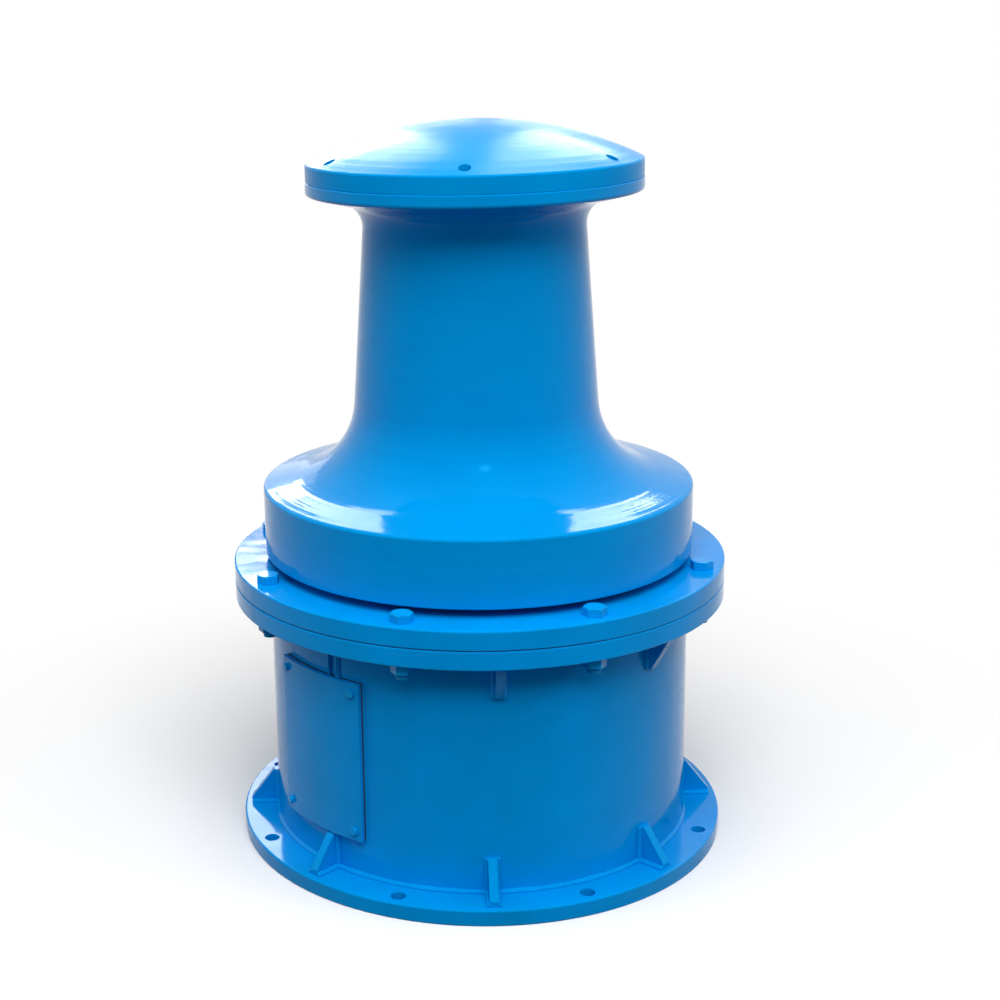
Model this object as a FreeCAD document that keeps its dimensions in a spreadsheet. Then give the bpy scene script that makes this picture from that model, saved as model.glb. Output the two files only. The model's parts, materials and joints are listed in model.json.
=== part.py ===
"""Deck capstan: a vertical electric rope capstan with its motor in the base and its gears in the drum.

Millimetres, +Z up. The origin is the centre of the base flange's underside, where the capstan
meets the deck. Every size that can be set by itself is a cell of the sheet, and each sub-part is
bound to those cells. Angles are counted from +X, about +Z.
"""
import FreeCAD, Part
import math
import os
import re
import Sketcher

DOC = FreeCAD.newDocument("deck_capstan")
SHEET = DOC.addObject("Spreadsheet::Sheet", "Sizes")
Vector = FreeCAD.Vector

# A gear tooth's height above and below its pitch circle, in modules.
ADDENDUM = 1
DEDENDUM = 1.25

SIZES = {
    # housing: base flange, wall and top flange
    "shell_radius": 290.8,
    "shell_wall": 10,
    "shell_height": 325.3,
    "base_thick": 21.7,
    "base_reach": 49.8,
    "base_hole": 10,
    "base_hole_inset": 20.6,
    "base_turn": 25.6,
    "flange_ledge": 18.8,
    "flange_reach": 49.2,
    "top_flange_thick": 24.7,
    "gasket_thick": 1,
    "gasket_inset": 2.5,
    "deck_thick": 25.9,
    "edge_round": 2,
    "edge_break": 1.2,
    # the eight flange bolts
    "bolt_reach": 23.5,
    "bolt_shank": 9,
    "bolt_flats": 27,
    "bolt_head": 11.5,
    "bolt_play": 1,
    "bolt_tail": 8,
    "nut_thick": 16,
    "bolt_turn": 27.5,
    "flange_count": 8,
    # stiffening ribs
    "rib_thick": 12,
    "rib_nose": 7,
    "base_rib_rise": 50,
    "base_rib_reach": 40,
    "top_rib_drop": 54,
    "top_rib_reach": 34,
    # access door in the housing wall
    "door_turn": 224,
    "door_spread": 30,
    "door_low": 74,
    "door_height": 222,
    "door_thick": 6,
    "door_seal": 3,
    "door_margin": 30,
    "door_opening_spread": 20,
    "door_screw_spread": 12.8,
    "door_screw_inset": 14,
    "door_screw": 3,
    "door_screw_flats": 10,
    "door_screw_head": 4.5,
    # rope drum
    "skirt_gap": 12.1,
    "skirt_clear": 3.1,
    "skirt_height": 91.2,
    "skirt_wall": 20,
    "skirt_edge": 5,
    "shoulder_drop": 15,
    "foot_wall": 22.5,
    "foot_rise": 30,
    "foot_fillet": 112,
    "head_wall": 13,
    "head_drop": 19,
    "head_fillet": 34,
    "barrel_height": 396.3,
    "rim_radius": 225.2,
    "rim_thick": 16.6,
    "rim_edge": 5,
    "drum_rib_thick": 12,
    "drum_rib_reach": 62,
    "drum_rib_drop": 40,
    "drum_rib_count": 8,
    # drum cap
    "cap_inset": 0.9,
    "cap_edge": 23.4,
    "cap_edge_round": 3.5,
    "cap_dome_rise": 52.8,
    "cap_wall": 14,
    "cap_spigot": 5,
    "cap_spigot_wall": 15,
    "cap_screw_inset": 18.2,
    "cap_screw_turn": 27,
    "cap_screw_count": 6,
    "cap_screw_sink": 12,
    "cap_screw": 5,
    "cap_screw_grip": 13,
    "cap_screw_land": 27,
    "cap_ring_thick": 11,
    # drum bearings and their seats
    "lower_seat_step": 4,
    "lower_bearing_section": 30,
    "lower_bearing_wide": 28,
    "upper_seat_step": 6,
    "upper_bearing_section": 25,
    "upper_bearing_wide": 24,
    "upper_seat_drop": 139.9,
    "bearing_lip": 6,
    "bearing_recess": 1.5,
    "hub_drop": 12,
    "hub_ring": 32,
    "hub_bore_step": 5,
    "web_low_gap": 43,
    "web_thick": 26,
    "web_bore": 96,
    "barrel_wall": 15,
    "disc_thick": 24,
    "disc_screw_inset": 20,
    "disc_screw": 6,
    "disc_boss": 60,
    "disc_boss_drop": 40,
    "disc_screw_count": 12,
    "retainer_thick": 14,
    "retainer_screw_count": 12,
    "retainer_screw": 4,
    "retainer_edge": 2,
    "seal_width": 12,
    "seal_play": 0.3,
    "running_fit": 0.05,
    # gear case
    "case_flange_edge": 18,
    "case_flange_thick": 22,
    "case_screw": 8,
    "case_screw_room": 29,
    "case_screw_count": 12,
    "case_spigot": 8.6,
    "case_wall": 15,
    "carrier_clear": 6,
    "case_cover_thick": 18,
    "case_cover_screw": 4,
    "case_cover_screw_inset": 10,
    "case_cover_screw_count": 8,
    "spigot_wall": 14,
    # planetary gears
    "gear_module": 3,
    "sun_teeth": 12,
    "planet_teeth": 24,
    "pressure_angle": 25,
    "backlash": 0.35,
    "ring_rim": 7.25,
    "planet_count": 3,
    "ring_start": 72,
    "ring_height": 210,
    "first_start": 102,
    "first_face": 45,
    "first_plate": 14,
    "first_pin": 10,
    "second_start": 182,
    "second_face": 66,
    "second_plate": 26,
    "second_pin": 14,
    "carrier_rim": 30,
    "pin_head": 4,
    "pin_head_thick": 3,
    "thrust_gap": 0.5,
    "sun_neck": 13,
    "sun_relief": 2,
    "output_shaft": 40,
    "output_spline": 4,
    "spline_half": 3,
    "spline_count": 16,
    "output_thread": 30,
    "output_nut_flats": 85,
    "output_nut_thick": 20,
    "output_thread_rise": 23,
    "output_seal_outer": 58,
    "output_seal_thick": 10,
    "seal_clearance": 3,
    # input cover
    "input_cover_thick": 14,
    "input_sleeve_wall": 11,
    "input_hub": 40,
    "input_hub_rise": 20,
    "input_seal_radius": 32,
    "input_seal_thick": 8,
    # motor
    "motor_flange_reach": 30,
    "motor_flange_thick": 14,
    "motor_spigot": 3.3,
    "motor_screw_reach": 15,
    "motor_screw": 6,
    "motor_screw_head": 7.8,
    "motor_screw_count": 8,
    "motor_turn": 35,
    "motor_radius": 130,
    "motor_wall": 12,
    "motor_height": 215,
    "motor_fin_reach": 10,
    "motor_fin_thick": 5,
    "motor_fin_count": 24,
    "front_hub_drop": 14,
    "shaft_radius": 20,
    "shaft_shoulder_rise": 5,
    "front_bearing_radius": 45,
    "front_bearing_wide": 23,
    "rear_bearing_radius": 40,
    "rear_bearing_wide": 18,
    "rear_shield_thick": 26,
    "core_bore": 78,
    "core_height": 130,
    "core_gap": 0.6,
    "slot_count": 24,
    "slot_wide": 8,
    "slot_deep": 22,
    "winding_step": 2,
    "winding_rise": 30,
    "winding_wall": 24,
    "cage_step": 2,
    "cage_rise": 10,
    "stub_radius": 9,
    "tail_radius": 15,
    "tail_drop": 46,
    # spring brake on the motor's tail
    "brake_disc_radius": 58,
    "brake_disc_thick": 10,
    "brake_play": 0.1,
    "armature_thick": 8,
    "brake_stroke": 0.6,
    "magnet_radius": 72,
    "pillar_circle": 66,
    "pillar_radius": 4,
    "pillar_play": 0.5,
    "pillar_count": 3,
    "magnet_thick": 30,
    "brake_cover_radius": 78,
    "brake_cover_wall": 3,
    # terminal box
    "box_wide": 110,
    "box_tall": 90,
    "box_deep": 45,
    "box_wall": 5,
    "box_lid": 6,
    "box_pad": 16,
    "box_rise": 100,
    "gland_radius": 14,
    "gland_tube": 11.2,
    "gland_bore": 7.7,
    "gland_nut": 20.4,
    "gland_drop": 34,
    # socket screws
    "socket_play": 0.5,
    "socket_floor": 1,
}

# Sizes that follow from the ones above, each written in terms of what it fits.
DERIVED = {
    "shell_bore": "shell_radius - shell_wall",
    "base_radius": "shell_radius + base_reach",
    "base_bore": "shell_bore - flange_ledge",
    "base_hole_circle": "base_radius - base_hole_inset",
    "flange_radius": "shell_radius + flange_reach",
    "bolt_circle": "shell_radius + bolt_reach",
    "door_seat": "shell_radius + door_seal",
    # The skirt turns just inside the bolt heads' corners.
    "skirt_radius": "bolt_circle - bolt_flats / sqrt(3) - skirt_clear",
    "skirt_bore": "skirt_radius - skirt_wall",
    # The gears set the case, the case the bearings, and the bearings the drum.
    "orbit": "gear_module * (sun_teeth + planet_teeth) / 2",
    "ring_pitch": "gear_module * (sun_teeth + 2 * planet_teeth) / 2",
    "carrier_radius": "orbit + carrier_rim",
    "case_bore": f"ring_pitch + {DEDENDUM} * gear_module + ring_rim",
    "case_top_bore": "carrier_radius + carrier_clear",
    "case_neck": "case_bore + case_wall",
    "spigot_radius": "case_bore + spigot_wall",
    "lower_bearing_bore": "case_neck + lower_seat_step",
    "lower_bearing_outer": "lower_bearing_bore + lower_bearing_section",
    "upper_bearing_bore": "case_neck - upper_seat_step",
    "upper_bearing_outer": "upper_bearing_bore + upper_bearing_section",
    "case_lip": "lower_bearing_bore + bearing_lip",
    "case_screw_circle": "case_lip + 1.5 * case_screw + case_screw_room",
    "case_flange_radius": "case_screw_circle + case_flange_edge",
    "case_cover_screw_circle": "upper_bearing_bore - case_cover_screw_inset",
    "hub_radius": "lower_bearing_outer + hub_ring",
    "retainer_screw_circle": "lower_bearing_outer + hub_ring / 2",
    "seal_seat": "lower_bearing_outer - 2 * bearing_lip",
    "drum_clearance_bore": "upper_bearing_outer + hub_bore_step",
    "foot_radius": "lower_bearing_outer + foot_wall",
    "head_radius": "upper_bearing_outer + head_wall",
    "disc_radius": "head_radius - barrel_wall",
    "disc_screw_circle": "disc_radius - disc_screw_inset",
    "cap_radius": "rim_radius - cap_inset",
    "cap_hollow": "disc_radius - cap_spigot_wall",
    "cap_screw_circle": "rim_radius - cap_screw_inset",
    "cap_dish": "cap_screw_circle - cap_screw_land",
    "spline_root": "output_shaft - output_spline",
    "motor_flange_radius": "motor_radius + motor_flange_reach",
    "motor_screw_circle": "motor_radius + motor_screw_reach",
    "frame_bore": "motor_radius - motor_wall",
}

ALIAS = re.compile(r"\b(" + "|".join(SIZES) + r")\b")
DERIVED_NAME = re.compile(r"\b(" + "|".join(DERIVED) + r")\b")
for row, (alias, value) in enumerate(SIZES.items(), start=1):
    SHEET.set(f"A{row}", alias.replace("_", " "))
    SHEET.set(f"B{row}", str(value))
    SHEET.setAlias(f"B{row}", alias)
DOC.recompute()


def spelled_out(text):
    """The same expression with each derived size written in sizes of the sheet."""
    while DERIVED_NAME.search(text):
        text = DERIVED_NAME.sub(lambda found: f"({DERIVED[found.group()]})", text)
    return text


def bound(text):
    """The expression that reads these named sizes from the sheet."""
    return ALIAS.sub(r"Sizes.\1", spelled_out(text))


def value_of(text):
    """What an expression of named sizes comes to now."""
    return float(SHEET.evalExpression(bound(text).replace("Sizes.", "")))


# Heights that follow from the sizes, from the deck up.
BASE_TOP = "base_thick"
SHELL_TOP = f"({BASE_TOP} + shell_height)"
GASKET_LOW = f"({SHELL_TOP} + top_flange_thick)"
DECK_LOW = f"({GASKET_LOW} + gasket_thick)"
DECK_TOP = f"({DECK_LOW} + deck_thick)"
SKIRT_LOW = f"({DECK_TOP} + skirt_gap)"
SKIRT_TOP = f"({SKIRT_LOW} + skirt_height)"
RIM_LOW = f"({SKIRT_TOP} + barrel_height)"
RIM_TOP = f"({RIM_LOW} + rim_thick)"
CAP_EDGE_TOP = f"({RIM_TOP} + cap_edge)"
# The lower bearing stands level with the barrel's foot, the upper one a set drop below the rim.
LOWER_SEAT = f"({SKIRT_TOP} + foot_rise - hub_drop)"
LOWER_SEAT_TOP = f"({LOWER_SEAT} + lower_bearing_wide)"
UPPER_SEAT = f"({RIM_TOP} - upper_seat_drop)"
CASE_TOP = f"({UPPER_SEAT} + upper_bearing_wide)"
CASE_COVER_TOP = f"({CASE_TOP} + case_cover_thick)"
WEB_LOW = f"({CASE_TOP} + web_low_gap)"
WEB_TOP = f"({WEB_LOW} + web_thick)"
DISC_TOP = f"({WEB_TOP} + disc_thick)"
# The gear train, counted from the deck plate's top.
RING_LOW = f"({DECK_TOP} + ring_start)"
RING_TOP = f"({RING_LOW} + ring_height)"
FIRST_LOW = f"({DECK_TOP} + first_start)"
FIRST_TOP = f"({FIRST_LOW} + first_face)"
FIRST_PLATE_LOW = f"({FIRST_TOP} + thrust_gap)"
FIRST_PLATE_TOP = f"({FIRST_PLATE_LOW} + first_plate)"
SECOND_LOW = f"({DECK_TOP} + second_start)"
SECOND_TOP = f"({SECOND_LOW} + second_face)"
SECOND_PLATE_LOW = f"({SECOND_TOP} + thrust_gap)"
SECOND_PLATE_TOP = f"({SECOND_PLATE_LOW} + second_plate)"

NODES = {}


def finished(shape_object, label):
    """Give a sub-part its label, which names its file, and keep it for the export."""
    shape_object.Label = label
    NODES[label] = shape_object
    return shape_object


def turned(shape_object, angle):
    """Turn an object about the capstan's axis by a bound angle in degrees."""
    shape_object.Placement = FreeCAD.Placement(Vector(), FreeCAD.Rotation(Vector(0, 0, 1), 1))
    shape_object.setExpression("Placement.Rotation.Angle", bound(angle))


def new_body(label, turn=None):
    body = DOC.addObject("PartDesign::Body", label)
    if turn:
        turned(body, turn)
    return finished(body, label)


def origin_feature(body, role):
    return next(feature for feature in body.Origin.OriginFeatures if feature.Role == role)


def new_sketch(body, plane, lift="0"):
    """A sketch on one of the body's own planes, lifted along its normal."""
    sketch = body.newObject("Sketcher::SketchObject", "Sketch")
    sketch.AttachmentSupport = [(origin_feature(body, plane), "")]
    sketch.MapMode = "FlatFace"
    sketch.setExpression("AttachmentOffset.Base.z", bound(lift))
    return sketch


def pin_down(sketch, item, end, across, along):
    """Hold one end of a line at two bound distances from the sketch's origin."""
    for kind, text in (("DistanceX", across), ("DistanceY", along)):
        number = sketch.addConstraint(Sketcher.Constraint(kind, -1, 1, item, end, value_of(text)))
        sketch.setExpression(f"Constraints[{number}]", bound(text))


def end_at(sketch, item, place):
    """Which end of an edge, 1 or 2, lies at a place."""
    start = sketch.Geometry[item].StartPoint
    return 1 if start.distanceToPoint(place) < 0.001 else 2


def outline(sketch, points, arcs=None):
    """A closed outline through bound points. An edge in arcs bulges about a centre on the axis."""
    arcs = arcs or {}
    places = [Vector(value_of(across), value_of(along), 0) for across, along in points]
    for index, start in enumerate(places):
        end = places[(index + 1) % len(places)]
        edge = Part.LineSegment(start, end)
        if index in arcs:
            radius, centre_height = [value_of(text) for text in arcs[index]]
            centre = Vector(0, centre_height, 0)
            middle = centre + ((start + end) * 0.5 - centre).normalize() * radius
            ends = [start, end]
            if (start - centre).cross(end - centre).z < 0:
                ends.reverse()
            edge = Part.Arc(ends[0], middle, ends[1])
        sketch.addGeometry(edge, False)
    for index, (across, along) in enumerate(points):
        before = index - 1 if index else len(points) - 1
        own_end = end_at(sketch, index, places[index])
        end_before = end_at(sketch, before, places[index])
        sketch.addConstraint(Sketcher.Constraint("Coincident", before, end_before, index, own_end))
        pin_down(sketch, index, own_end, across, along)
        if index in arcs:
            radius = arcs[index][0]
            number = sketch.addConstraint(Sketcher.Constraint("Radius", index, value_of(radius)))
            sketch.setExpression(f"Constraints[{number}]", bound(radius))


def circle(sketch, radius, across="0", along="0"):
    place = Vector(value_of(across), value_of(along), 0)
    item = sketch.addGeometry(Part.Circle(place, Vector(0, 0, 1), value_of(radius)), False)
    number = sketch.addConstraint(Sketcher.Constraint("Radius", item, value_of(radius)))
    sketch.setExpression(f"Constraints[{number}]", bound(radius))
    pin_down(sketch, item, 3, across, along)


def revolve(body, points, arcs=None, angle=None, cut=False):
    """Turn an outline of (radius, height) points about the axis, as metal or as a groove."""
    sketch = new_sketch(body, "XZ_Plane")
    outline(sketch, points, arcs)
    kind = "PartDesign::Groove" if cut else "PartDesign::Revolution"
    feature = body.newObject(kind, "Turned")
    feature.Profile = sketch
    feature.ReferenceAxis = (sketch, ["V_Axis"])
    feature.Midplane = True
    feature.Angle = 360
    if angle:
        feature.setExpression("Angle", bound(angle))
    return feature


def tube(body, inner, outer, low, high):
    return revolve(body, [(inner, low), (outer, low), (outer, high), (inner, high)])


def extrude(body, sketch, length, both_ways=False):
    pad = body.newObject("PartDesign::Pad", "Pad")
    pad.Profile = sketch
    pad.Midplane = both_ways
    pad.setExpression("Length", bound(length))
    return pad


def around(body, feature, count):
    """Repeat a feature evenly around the capstan's axis."""
    pattern = body.newObject("PartDesign::PolarPattern", "Around")
    pattern.Originals = [feature]
    pattern.Axis = (origin_feature(body, "Z_Axis"), [""])
    pattern.Angle = 360
    pattern.setExpression("Occurrences", bound(count))
    body.Tip = pattern
    return pattern


def holes(body, ring, radius, top, depth, count, turn="0"):
    """A ring of equal holes, sunk from a height down."""
    sketch = new_sketch(body, "XY_Plane", top)
    circle(sketch, radius, f"({ring}) * cos({turn})", f"({ring}) * sin({turn})")
    pocket = body.newObject("PartDesign::Pocket", "Hole")
    pocket.Profile = sketch
    pocket.setExpression("Length", bound(depth))
    return around(body, pocket, count)


def edges_at(feature, places):
    """The names of a feature's round edges about the axis at the given (radius, height) places."""
    DOC.recompute()
    wanted = [(value_of(radius), value_of(height)) for radius, height in places]
    names = []
    for number, edge in enumerate(feature.Shape.Edges, start=1):
        if edge.Degenerated or not isinstance(edge.Curve, Part.Circle):
            continue
        curve, centre = edge.Curve, edge.Curve.Center
        if math.hypot(centre.x, centre.y) > 0.01:
            continue
        for radius, height in wanted:
            if abs(curve.Radius - radius) < 0.01 and abs(centre.z - height) < 0.01:
                names.append(f"Edge{number}")
    if len(names) < len(wanted):
        raise ValueError(f"{feature.Label}: an edge to round is missing")
    return names


def fillet(body, places, radius):
    """Round the edges about the axis at the given (radius, height) places."""
    before = body.Tip
    names = edges_at(before, places)
    feature = body.newObject("PartDesign::Fillet", "Fillet")
    feature.Base = (before, names)
    feature.setExpression("Radius", bound(radius))


# Fasteners are built from primitives, one set at each place, and kept as one group.
def place(shape_object, across, along, low, turn=None):
    shape_object.Placement = FreeCAD.Placement(Vector(), FreeCAD.Rotation(Vector(0, 0, 1), 1))
    shape_object.setExpression("Placement.Rotation.Angle", bound(turn or "0"))
    shape_object.setExpression("Placement.Base.x", bound(across))
    shape_object.setExpression("Placement.Base.y", bound(along))
    shape_object.setExpression("Placement.Base.z", bound(low))
    return shape_object


def rod(radius, across, along, low, length):
    piece = DOC.addObject("Part::Cylinder", "Rod")
    piece.setExpression("Radius", bound(radius))
    piece.setExpression("Height", bound(length))
    return place(piece, across, along, low)


def hexagon(flats, across, along, low, length, turn):
    piece = DOC.addObject("Part::Prism", "Hexagon")
    piece.Polygon = 6
    piece.setExpression("Circumradius", bound(f"({flats}) / sqrt(3)"))
    piece.setExpression("Height", bound(length))
    return place(piece, across, along, low, turn)


def joined(pieces):
    fuse = DOC.addObject("Part::MultiFuse", "Joined")
    fuse.Shapes = pieces
    return fuse


def less(piece, tool):
    cut = DOC.addObject("Part::Cut", "Less")
    cut.Base = piece
    cut.Tool = tool
    return cut


# The flat on top of a bolt head, as a share of its width across flats.
CROWN_SHARE = 0.95


def crowned(piece, flats, across, along, low, high):
    """Take the six corners off a hexagon's outer end with a 30 degree cone, as a bolt head has them."""
    tip = f"({CROWN_SHARE} * {flats} / 2)"
    cone = DOC.addObject("Part::Cone", "Crown")
    cone.setExpression("Radius1", bound(f"{tip} + ({high} - {low}) * sqrt(3)"))
    cone.setExpression("Radius2", bound(tip))
    cone.setExpression("Height", bound(f"({high}) - ({low})"))
    place(cone, across, along, low)
    common = DOC.addObject("Part::MultiCommon", "Crowned")
    common.Shapes = [piece, cone]
    return common


def ring_group(label, count, turn, one):
    """A group of equal fasteners around the axis; one(angle) makes each."""
    total = int(value_of(count))
    group = DOC.addObject("Part::Compound", label)
    group.Links = [one(f"({turn} + {number} * 360 / {total})") for number in range(total)]
    finished(group, label)


def socket_screw(ring, angle, seat, shank, shank_length, head_up=True):
    """A socket head cap screw standing on a seat, its shank in the metal below (or above).

    The head is three shank radii across and two tall, and its hexagon socket is one deep.
    """
    across = f"{ring} * cos({angle})"
    along = f"{ring} * sin({angle})"
    head_low = seat if head_up else f"({seat} - 2 * {shank})"
    shank_low = f"({seat} - {shank_length})" if head_up else seat
    head = rod(f"1.5 * {shank}", across, along, head_low, f"2 * {shank}")
    stem = rod(shank, across, along, shank_low, shank_length)
    key_low = f"({seat} + {shank})" if head_up else f"({head_low} - socket_floor)"
    key = hexagon(f"1.7 * {shank}", across, along, key_low, f"({shank} + socket_floor)", angle)
    return less(joined([head, stem]), key)


# ---- Housing: base flange, wall, top flange and ribs, welded together -------------------------
# How far a cutting shape stands out past the wall that it cuts.
CLEAR_OF_WALL = "10"


def make_base_flange():
    body = new_body("base_flange", "base_turn")
    tube(body, "base_bore", "base_radius", "0", BASE_TOP)
    holes(body, "base_hole_circle", "base_hole", BASE_TOP, "base_thick", "flange_count")
    fillet(body, [("base_radius", BASE_TOP)], "edge_round")
    fillet(body, [("base_radius", "0")], "edge_break")


def door_screw_holes(body):
    """Four radial holes near the door's corners, through whatever the body holds there."""
    for side in ("-1", "1"):
        sketch = new_sketch(body, "YZ_Plane")
        sketch.AttachmentOffset = FreeCAD.Placement(Vector(), FreeCAD.Rotation(Vector(0, 1, 0), 1))
        sketch.setExpression("AttachmentOffset.Rotation.Angle", bound(f"{side} * door_screw_spread"))
        circle(sketch, "door_screw", "0", "door_low + door_screw_inset")
        circle(sketch, "door_screw", "0", "door_low + door_height - door_screw_inset")
        pocket = body.newObject("PartDesign::Pocket", "ScrewHoles")
        pocket.Profile = sketch
        pocket.Reversed = True
        pocket.setExpression("Length", bound(f"door_seat + door_thick + {CLEAR_OF_WALL}"))
        body.Tip = pocket


def door_window(body):
    """Cut the door's opening out of whatever the body holds there."""
    low = "(door_low + door_margin)"
    high = "(door_low + door_height - door_margin)"
    inside = f"(shell_bore - {CLEAR_OF_WALL})"
    outside = f"(door_seat + {CLEAR_OF_WALL})"
    opening = [(inside, low), (outside, low), (outside, high), (inside, high)]
    revolve(body, opening, angle="door_opening_spread", cut=True)


def make_housing_shell():
    body = new_body("housing_shell", "door_turn")
    tube(body, "shell_bore", "shell_radius", BASE_TOP, SHELL_TOP)
    door_window(body)
    door_screw_holes(body)


def door_plate(label, inner, outer):
    """A curved plate that lies on the housing wall, as wide and tall as the door."""
    body = new_body(label, "door_turn")
    top = "(door_low + door_height)"
    plate = [(inner, "door_low"), (outer, "door_low"), (outer, top), (inner, top)]
    revolve(body, plate, angle="door_spread")
    return body


def make_access_cover():
    body = door_plate("access_cover", "door_seat", "(door_seat + door_thick)")
    door_screw_holes(body)


def make_access_gasket():
    body = door_plate("access_gasket", "shell_radius", "door_seat")
    door_window(body)
    door_screw_holes(body)


def radial_screw(angle, height):
    """A hexagon head screw that points at the axis, its head outside the door."""
    head_seat = "(door_seat + door_thick)"
    shank_start = "(shell_bore + 1)"
    pieces = []
    for kind, start, end in (
        ("Part::Cylinder", shank_start, head_seat),
        ("Part::Prism", head_seat, f"({head_seat} + door_screw_head)"),
    ):
        piece = DOC.addObject(kind, "ScrewPart")
        if kind == "Part::Cylinder":
            piece.setExpression("Radius", bound("door_screw"))
        else:
            piece.Polygon = 6
            piece.setExpression("Circumradius", bound("door_screw_flats / sqrt(3)"))
        piece.setExpression("Height", bound(f"{end} - {start}"))
        # Laid over so that its own +Z points outwards.
        piece.Placement = FreeCAD.Placement(Vector(), FreeCAD.Rotation(Vector(0, 1, 0), 90))
        piece.setExpression("Placement.Base.x", bound(start))
        piece.setExpression("Placement.Base.z", bound(height))
        pieces.append(piece)
    screw = joined(pieces)
    turned(screw, angle)
    return screw


def make_access_screws():
    screws = []
    for side in ("- door_screw_spread", "+ door_screw_spread"):
        for height in ("door_low + door_screw_inset", "door_low + door_height - door_screw_inset"):
            screws.append(radial_screw(f"(door_turn {side})", height))
    group = DOC.addObject("Part::Compound", "access_screws")
    group.Links = screws
    finished(group, "access_screws")


def rib(body, points):
    sketch = new_sketch(body, "XZ_Plane")
    outline(sketch, points)
    return extrude(body, sketch, "rib_thick", both_ways=True)


def make_base_gussets():
    """Ribs on the base flange, half way between its holes."""
    body = new_body("base_gussets", "base_turn - 180 / flange_count")
    foot = "(shell_radius + base_rib_reach)"
    shape = rib(body, [
        ("shell_radius", BASE_TOP),
        (foot, BASE_TOP),
        (foot, f"{BASE_TOP} + rib_nose"),
        ("shell_radius + rib_nose", f"{BASE_TOP} + base_rib_rise"),
        ("shell_radius", f"{BASE_TOP} + base_rib_rise"),
    ])
    around(body, shape, "flange_count")


def make_flange_gussets():
    """Ribs under the top flange, half way between its bolts, except where the door is."""
    body = new_body("flange_gussets", "bolt_turn - 180 / flange_count * 5")
    tip = "(shell_radius + top_rib_reach)"
    shape = rib(body, [
        ("shell_radius", SHELL_TOP),
        (tip, SHELL_TOP),
        (tip, f"{SHELL_TOP} - rib_nose"),
        ("shell_radius + rib_nose", f"{SHELL_TOP} - top_rib_drop"),
        ("shell_radius", f"{SHELL_TOP} - top_rib_drop"),
    ])
    pattern = around(body, shape, "flange_count - 1")
    pattern.setExpression("Angle", bound("360 / flange_count * (flange_count - 2)"))


def flange_holes(body, top, thick):
    """The holes that the flange bolts pass through."""
    holes(body, "bolt_circle", "bolt_shank + bolt_play", top, thick, "flange_count")


def make_top_flange():
    body = new_body("top_flange", "bolt_turn")
    tube(body, "base_bore", "flange_radius", SHELL_TOP, GASKET_LOW)
    flange_holes(body, GASKET_LOW, "top_flange_thick")
    fillet(body, [("flange_radius", SHELL_TOP), ("flange_radius", GASKET_LOW)], "edge_break")


def make_flange_gasket():
    body = new_body("flange_gasket", "bolt_turn")
    tube(body, "base_bore", "flange_radius - gasket_inset", GASKET_LOW, DECK_LOW)
    flange_holes(body, DECK_LOW, "gasket_thick")


def make_deck_plate():
    """The plate that closes the housing and carries the gear case above and the motor below."""
    body = new_body("deck_plate", "bolt_turn")
    tube(body, "spigot_radius", "flange_radius", DECK_LOW, DECK_TOP)
    flange_holes(body, DECK_TOP, "deck_thick")
    case_grip = "(3 * case_screw)"
    holes(body, "case_screw_circle", "case_screw", DECK_TOP, case_grip, "case_screw_count")
    motor_grip = "(3 * motor_screw)"
    holes(body, "motor_screw_circle", "motor_screw", f"{DECK_LOW} + {motor_grip}", motor_grip,
          "motor_screw_count", "(motor_turn - bolt_turn)")
    fillet(body, [("flange_radius", DECK_TOP)], "edge_round")
    fillet(body, [("flange_radius", DECK_LOW)], "edge_break")


def make_flange_bolts():
    def bolt(angle):
        across = f"bolt_circle * cos({angle})"
        along = f"bolt_circle * sin({angle})"
        low = f"({SHELL_TOP} - nut_thick - bolt_tail)"
        shank = rod("bolt_shank", across, along, low, f"{DECK_TOP} - {low}")
        top = f"({DECK_TOP} + bolt_head)"
        head = hexagon("bolt_flats", across, along, DECK_TOP, "bolt_head", angle)
        return joined([crowned(head, "bolt_flats", across, along, DECK_TOP, top), shank])

    ring_group("flange_bolts", "flange_count", "bolt_turn", bolt)


def make_flange_nuts():
    def nut(angle):
        across = f"bolt_circle * cos({angle})"
        along = f"bolt_circle * sin({angle})"
        low = f"({SHELL_TOP} - nut_thick)"
        body = hexagon("bolt_flats", across, along, low, "nut_thick", "0")
        return less(body, rod("bolt_shank", across, along, low, "nut_thick"))

    ring_group("flange_nuts", "flange_count", "bolt_turn", nut)


# ---- Gear case, fixed on the deck plate and standing inside the drum --------------------------
COVER_TOP = f"({DECK_TOP} - case_spigot)"
COVER_LOW = f"({COVER_TOP} - input_cover_thick)"
INPUT_SEAL_TOP = f"({COVER_TOP} + input_hub_rise)"


def make_gear_case():
    body = new_body("gear_case", "bolt_turn")
    lower_seat = "(lower_bearing_bore - running_fit)"
    upper_seat = "(upper_bearing_bore - running_fit)"
    flange_top = f"({DECK_TOP} + case_flange_thick)"
    revolve(body, [
        ("case_bore", COVER_TOP),
        ("spigot_radius", COVER_TOP),
        ("spigot_radius", DECK_TOP),
        ("case_flange_radius", DECK_TOP),
        ("case_flange_radius", flange_top),
        ("case_lip", flange_top),
        ("case_lip", LOWER_SEAT),
        (lower_seat, LOWER_SEAT),
        (lower_seat, LOWER_SEAT_TOP),
        ("case_neck", LOWER_SEAT_TOP),
        ("case_neck", UPPER_SEAT),
        (upper_seat, UPPER_SEAT),
        (upper_seat, CASE_TOP),
        ("case_top_bore", CASE_TOP),
        ("case_top_bore", RING_TOP),
        ("case_bore", RING_TOP),
    ])
    holes(body, "case_screw_circle", "case_screw", flange_top, "case_flange_thick",
          "case_screw_count")
    cover_grip = "(3 * case_cover_screw)"
    holes(body, "case_cover_screw_circle", "case_cover_screw", CASE_TOP, cover_grip,
          "case_cover_screw_count")


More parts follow.
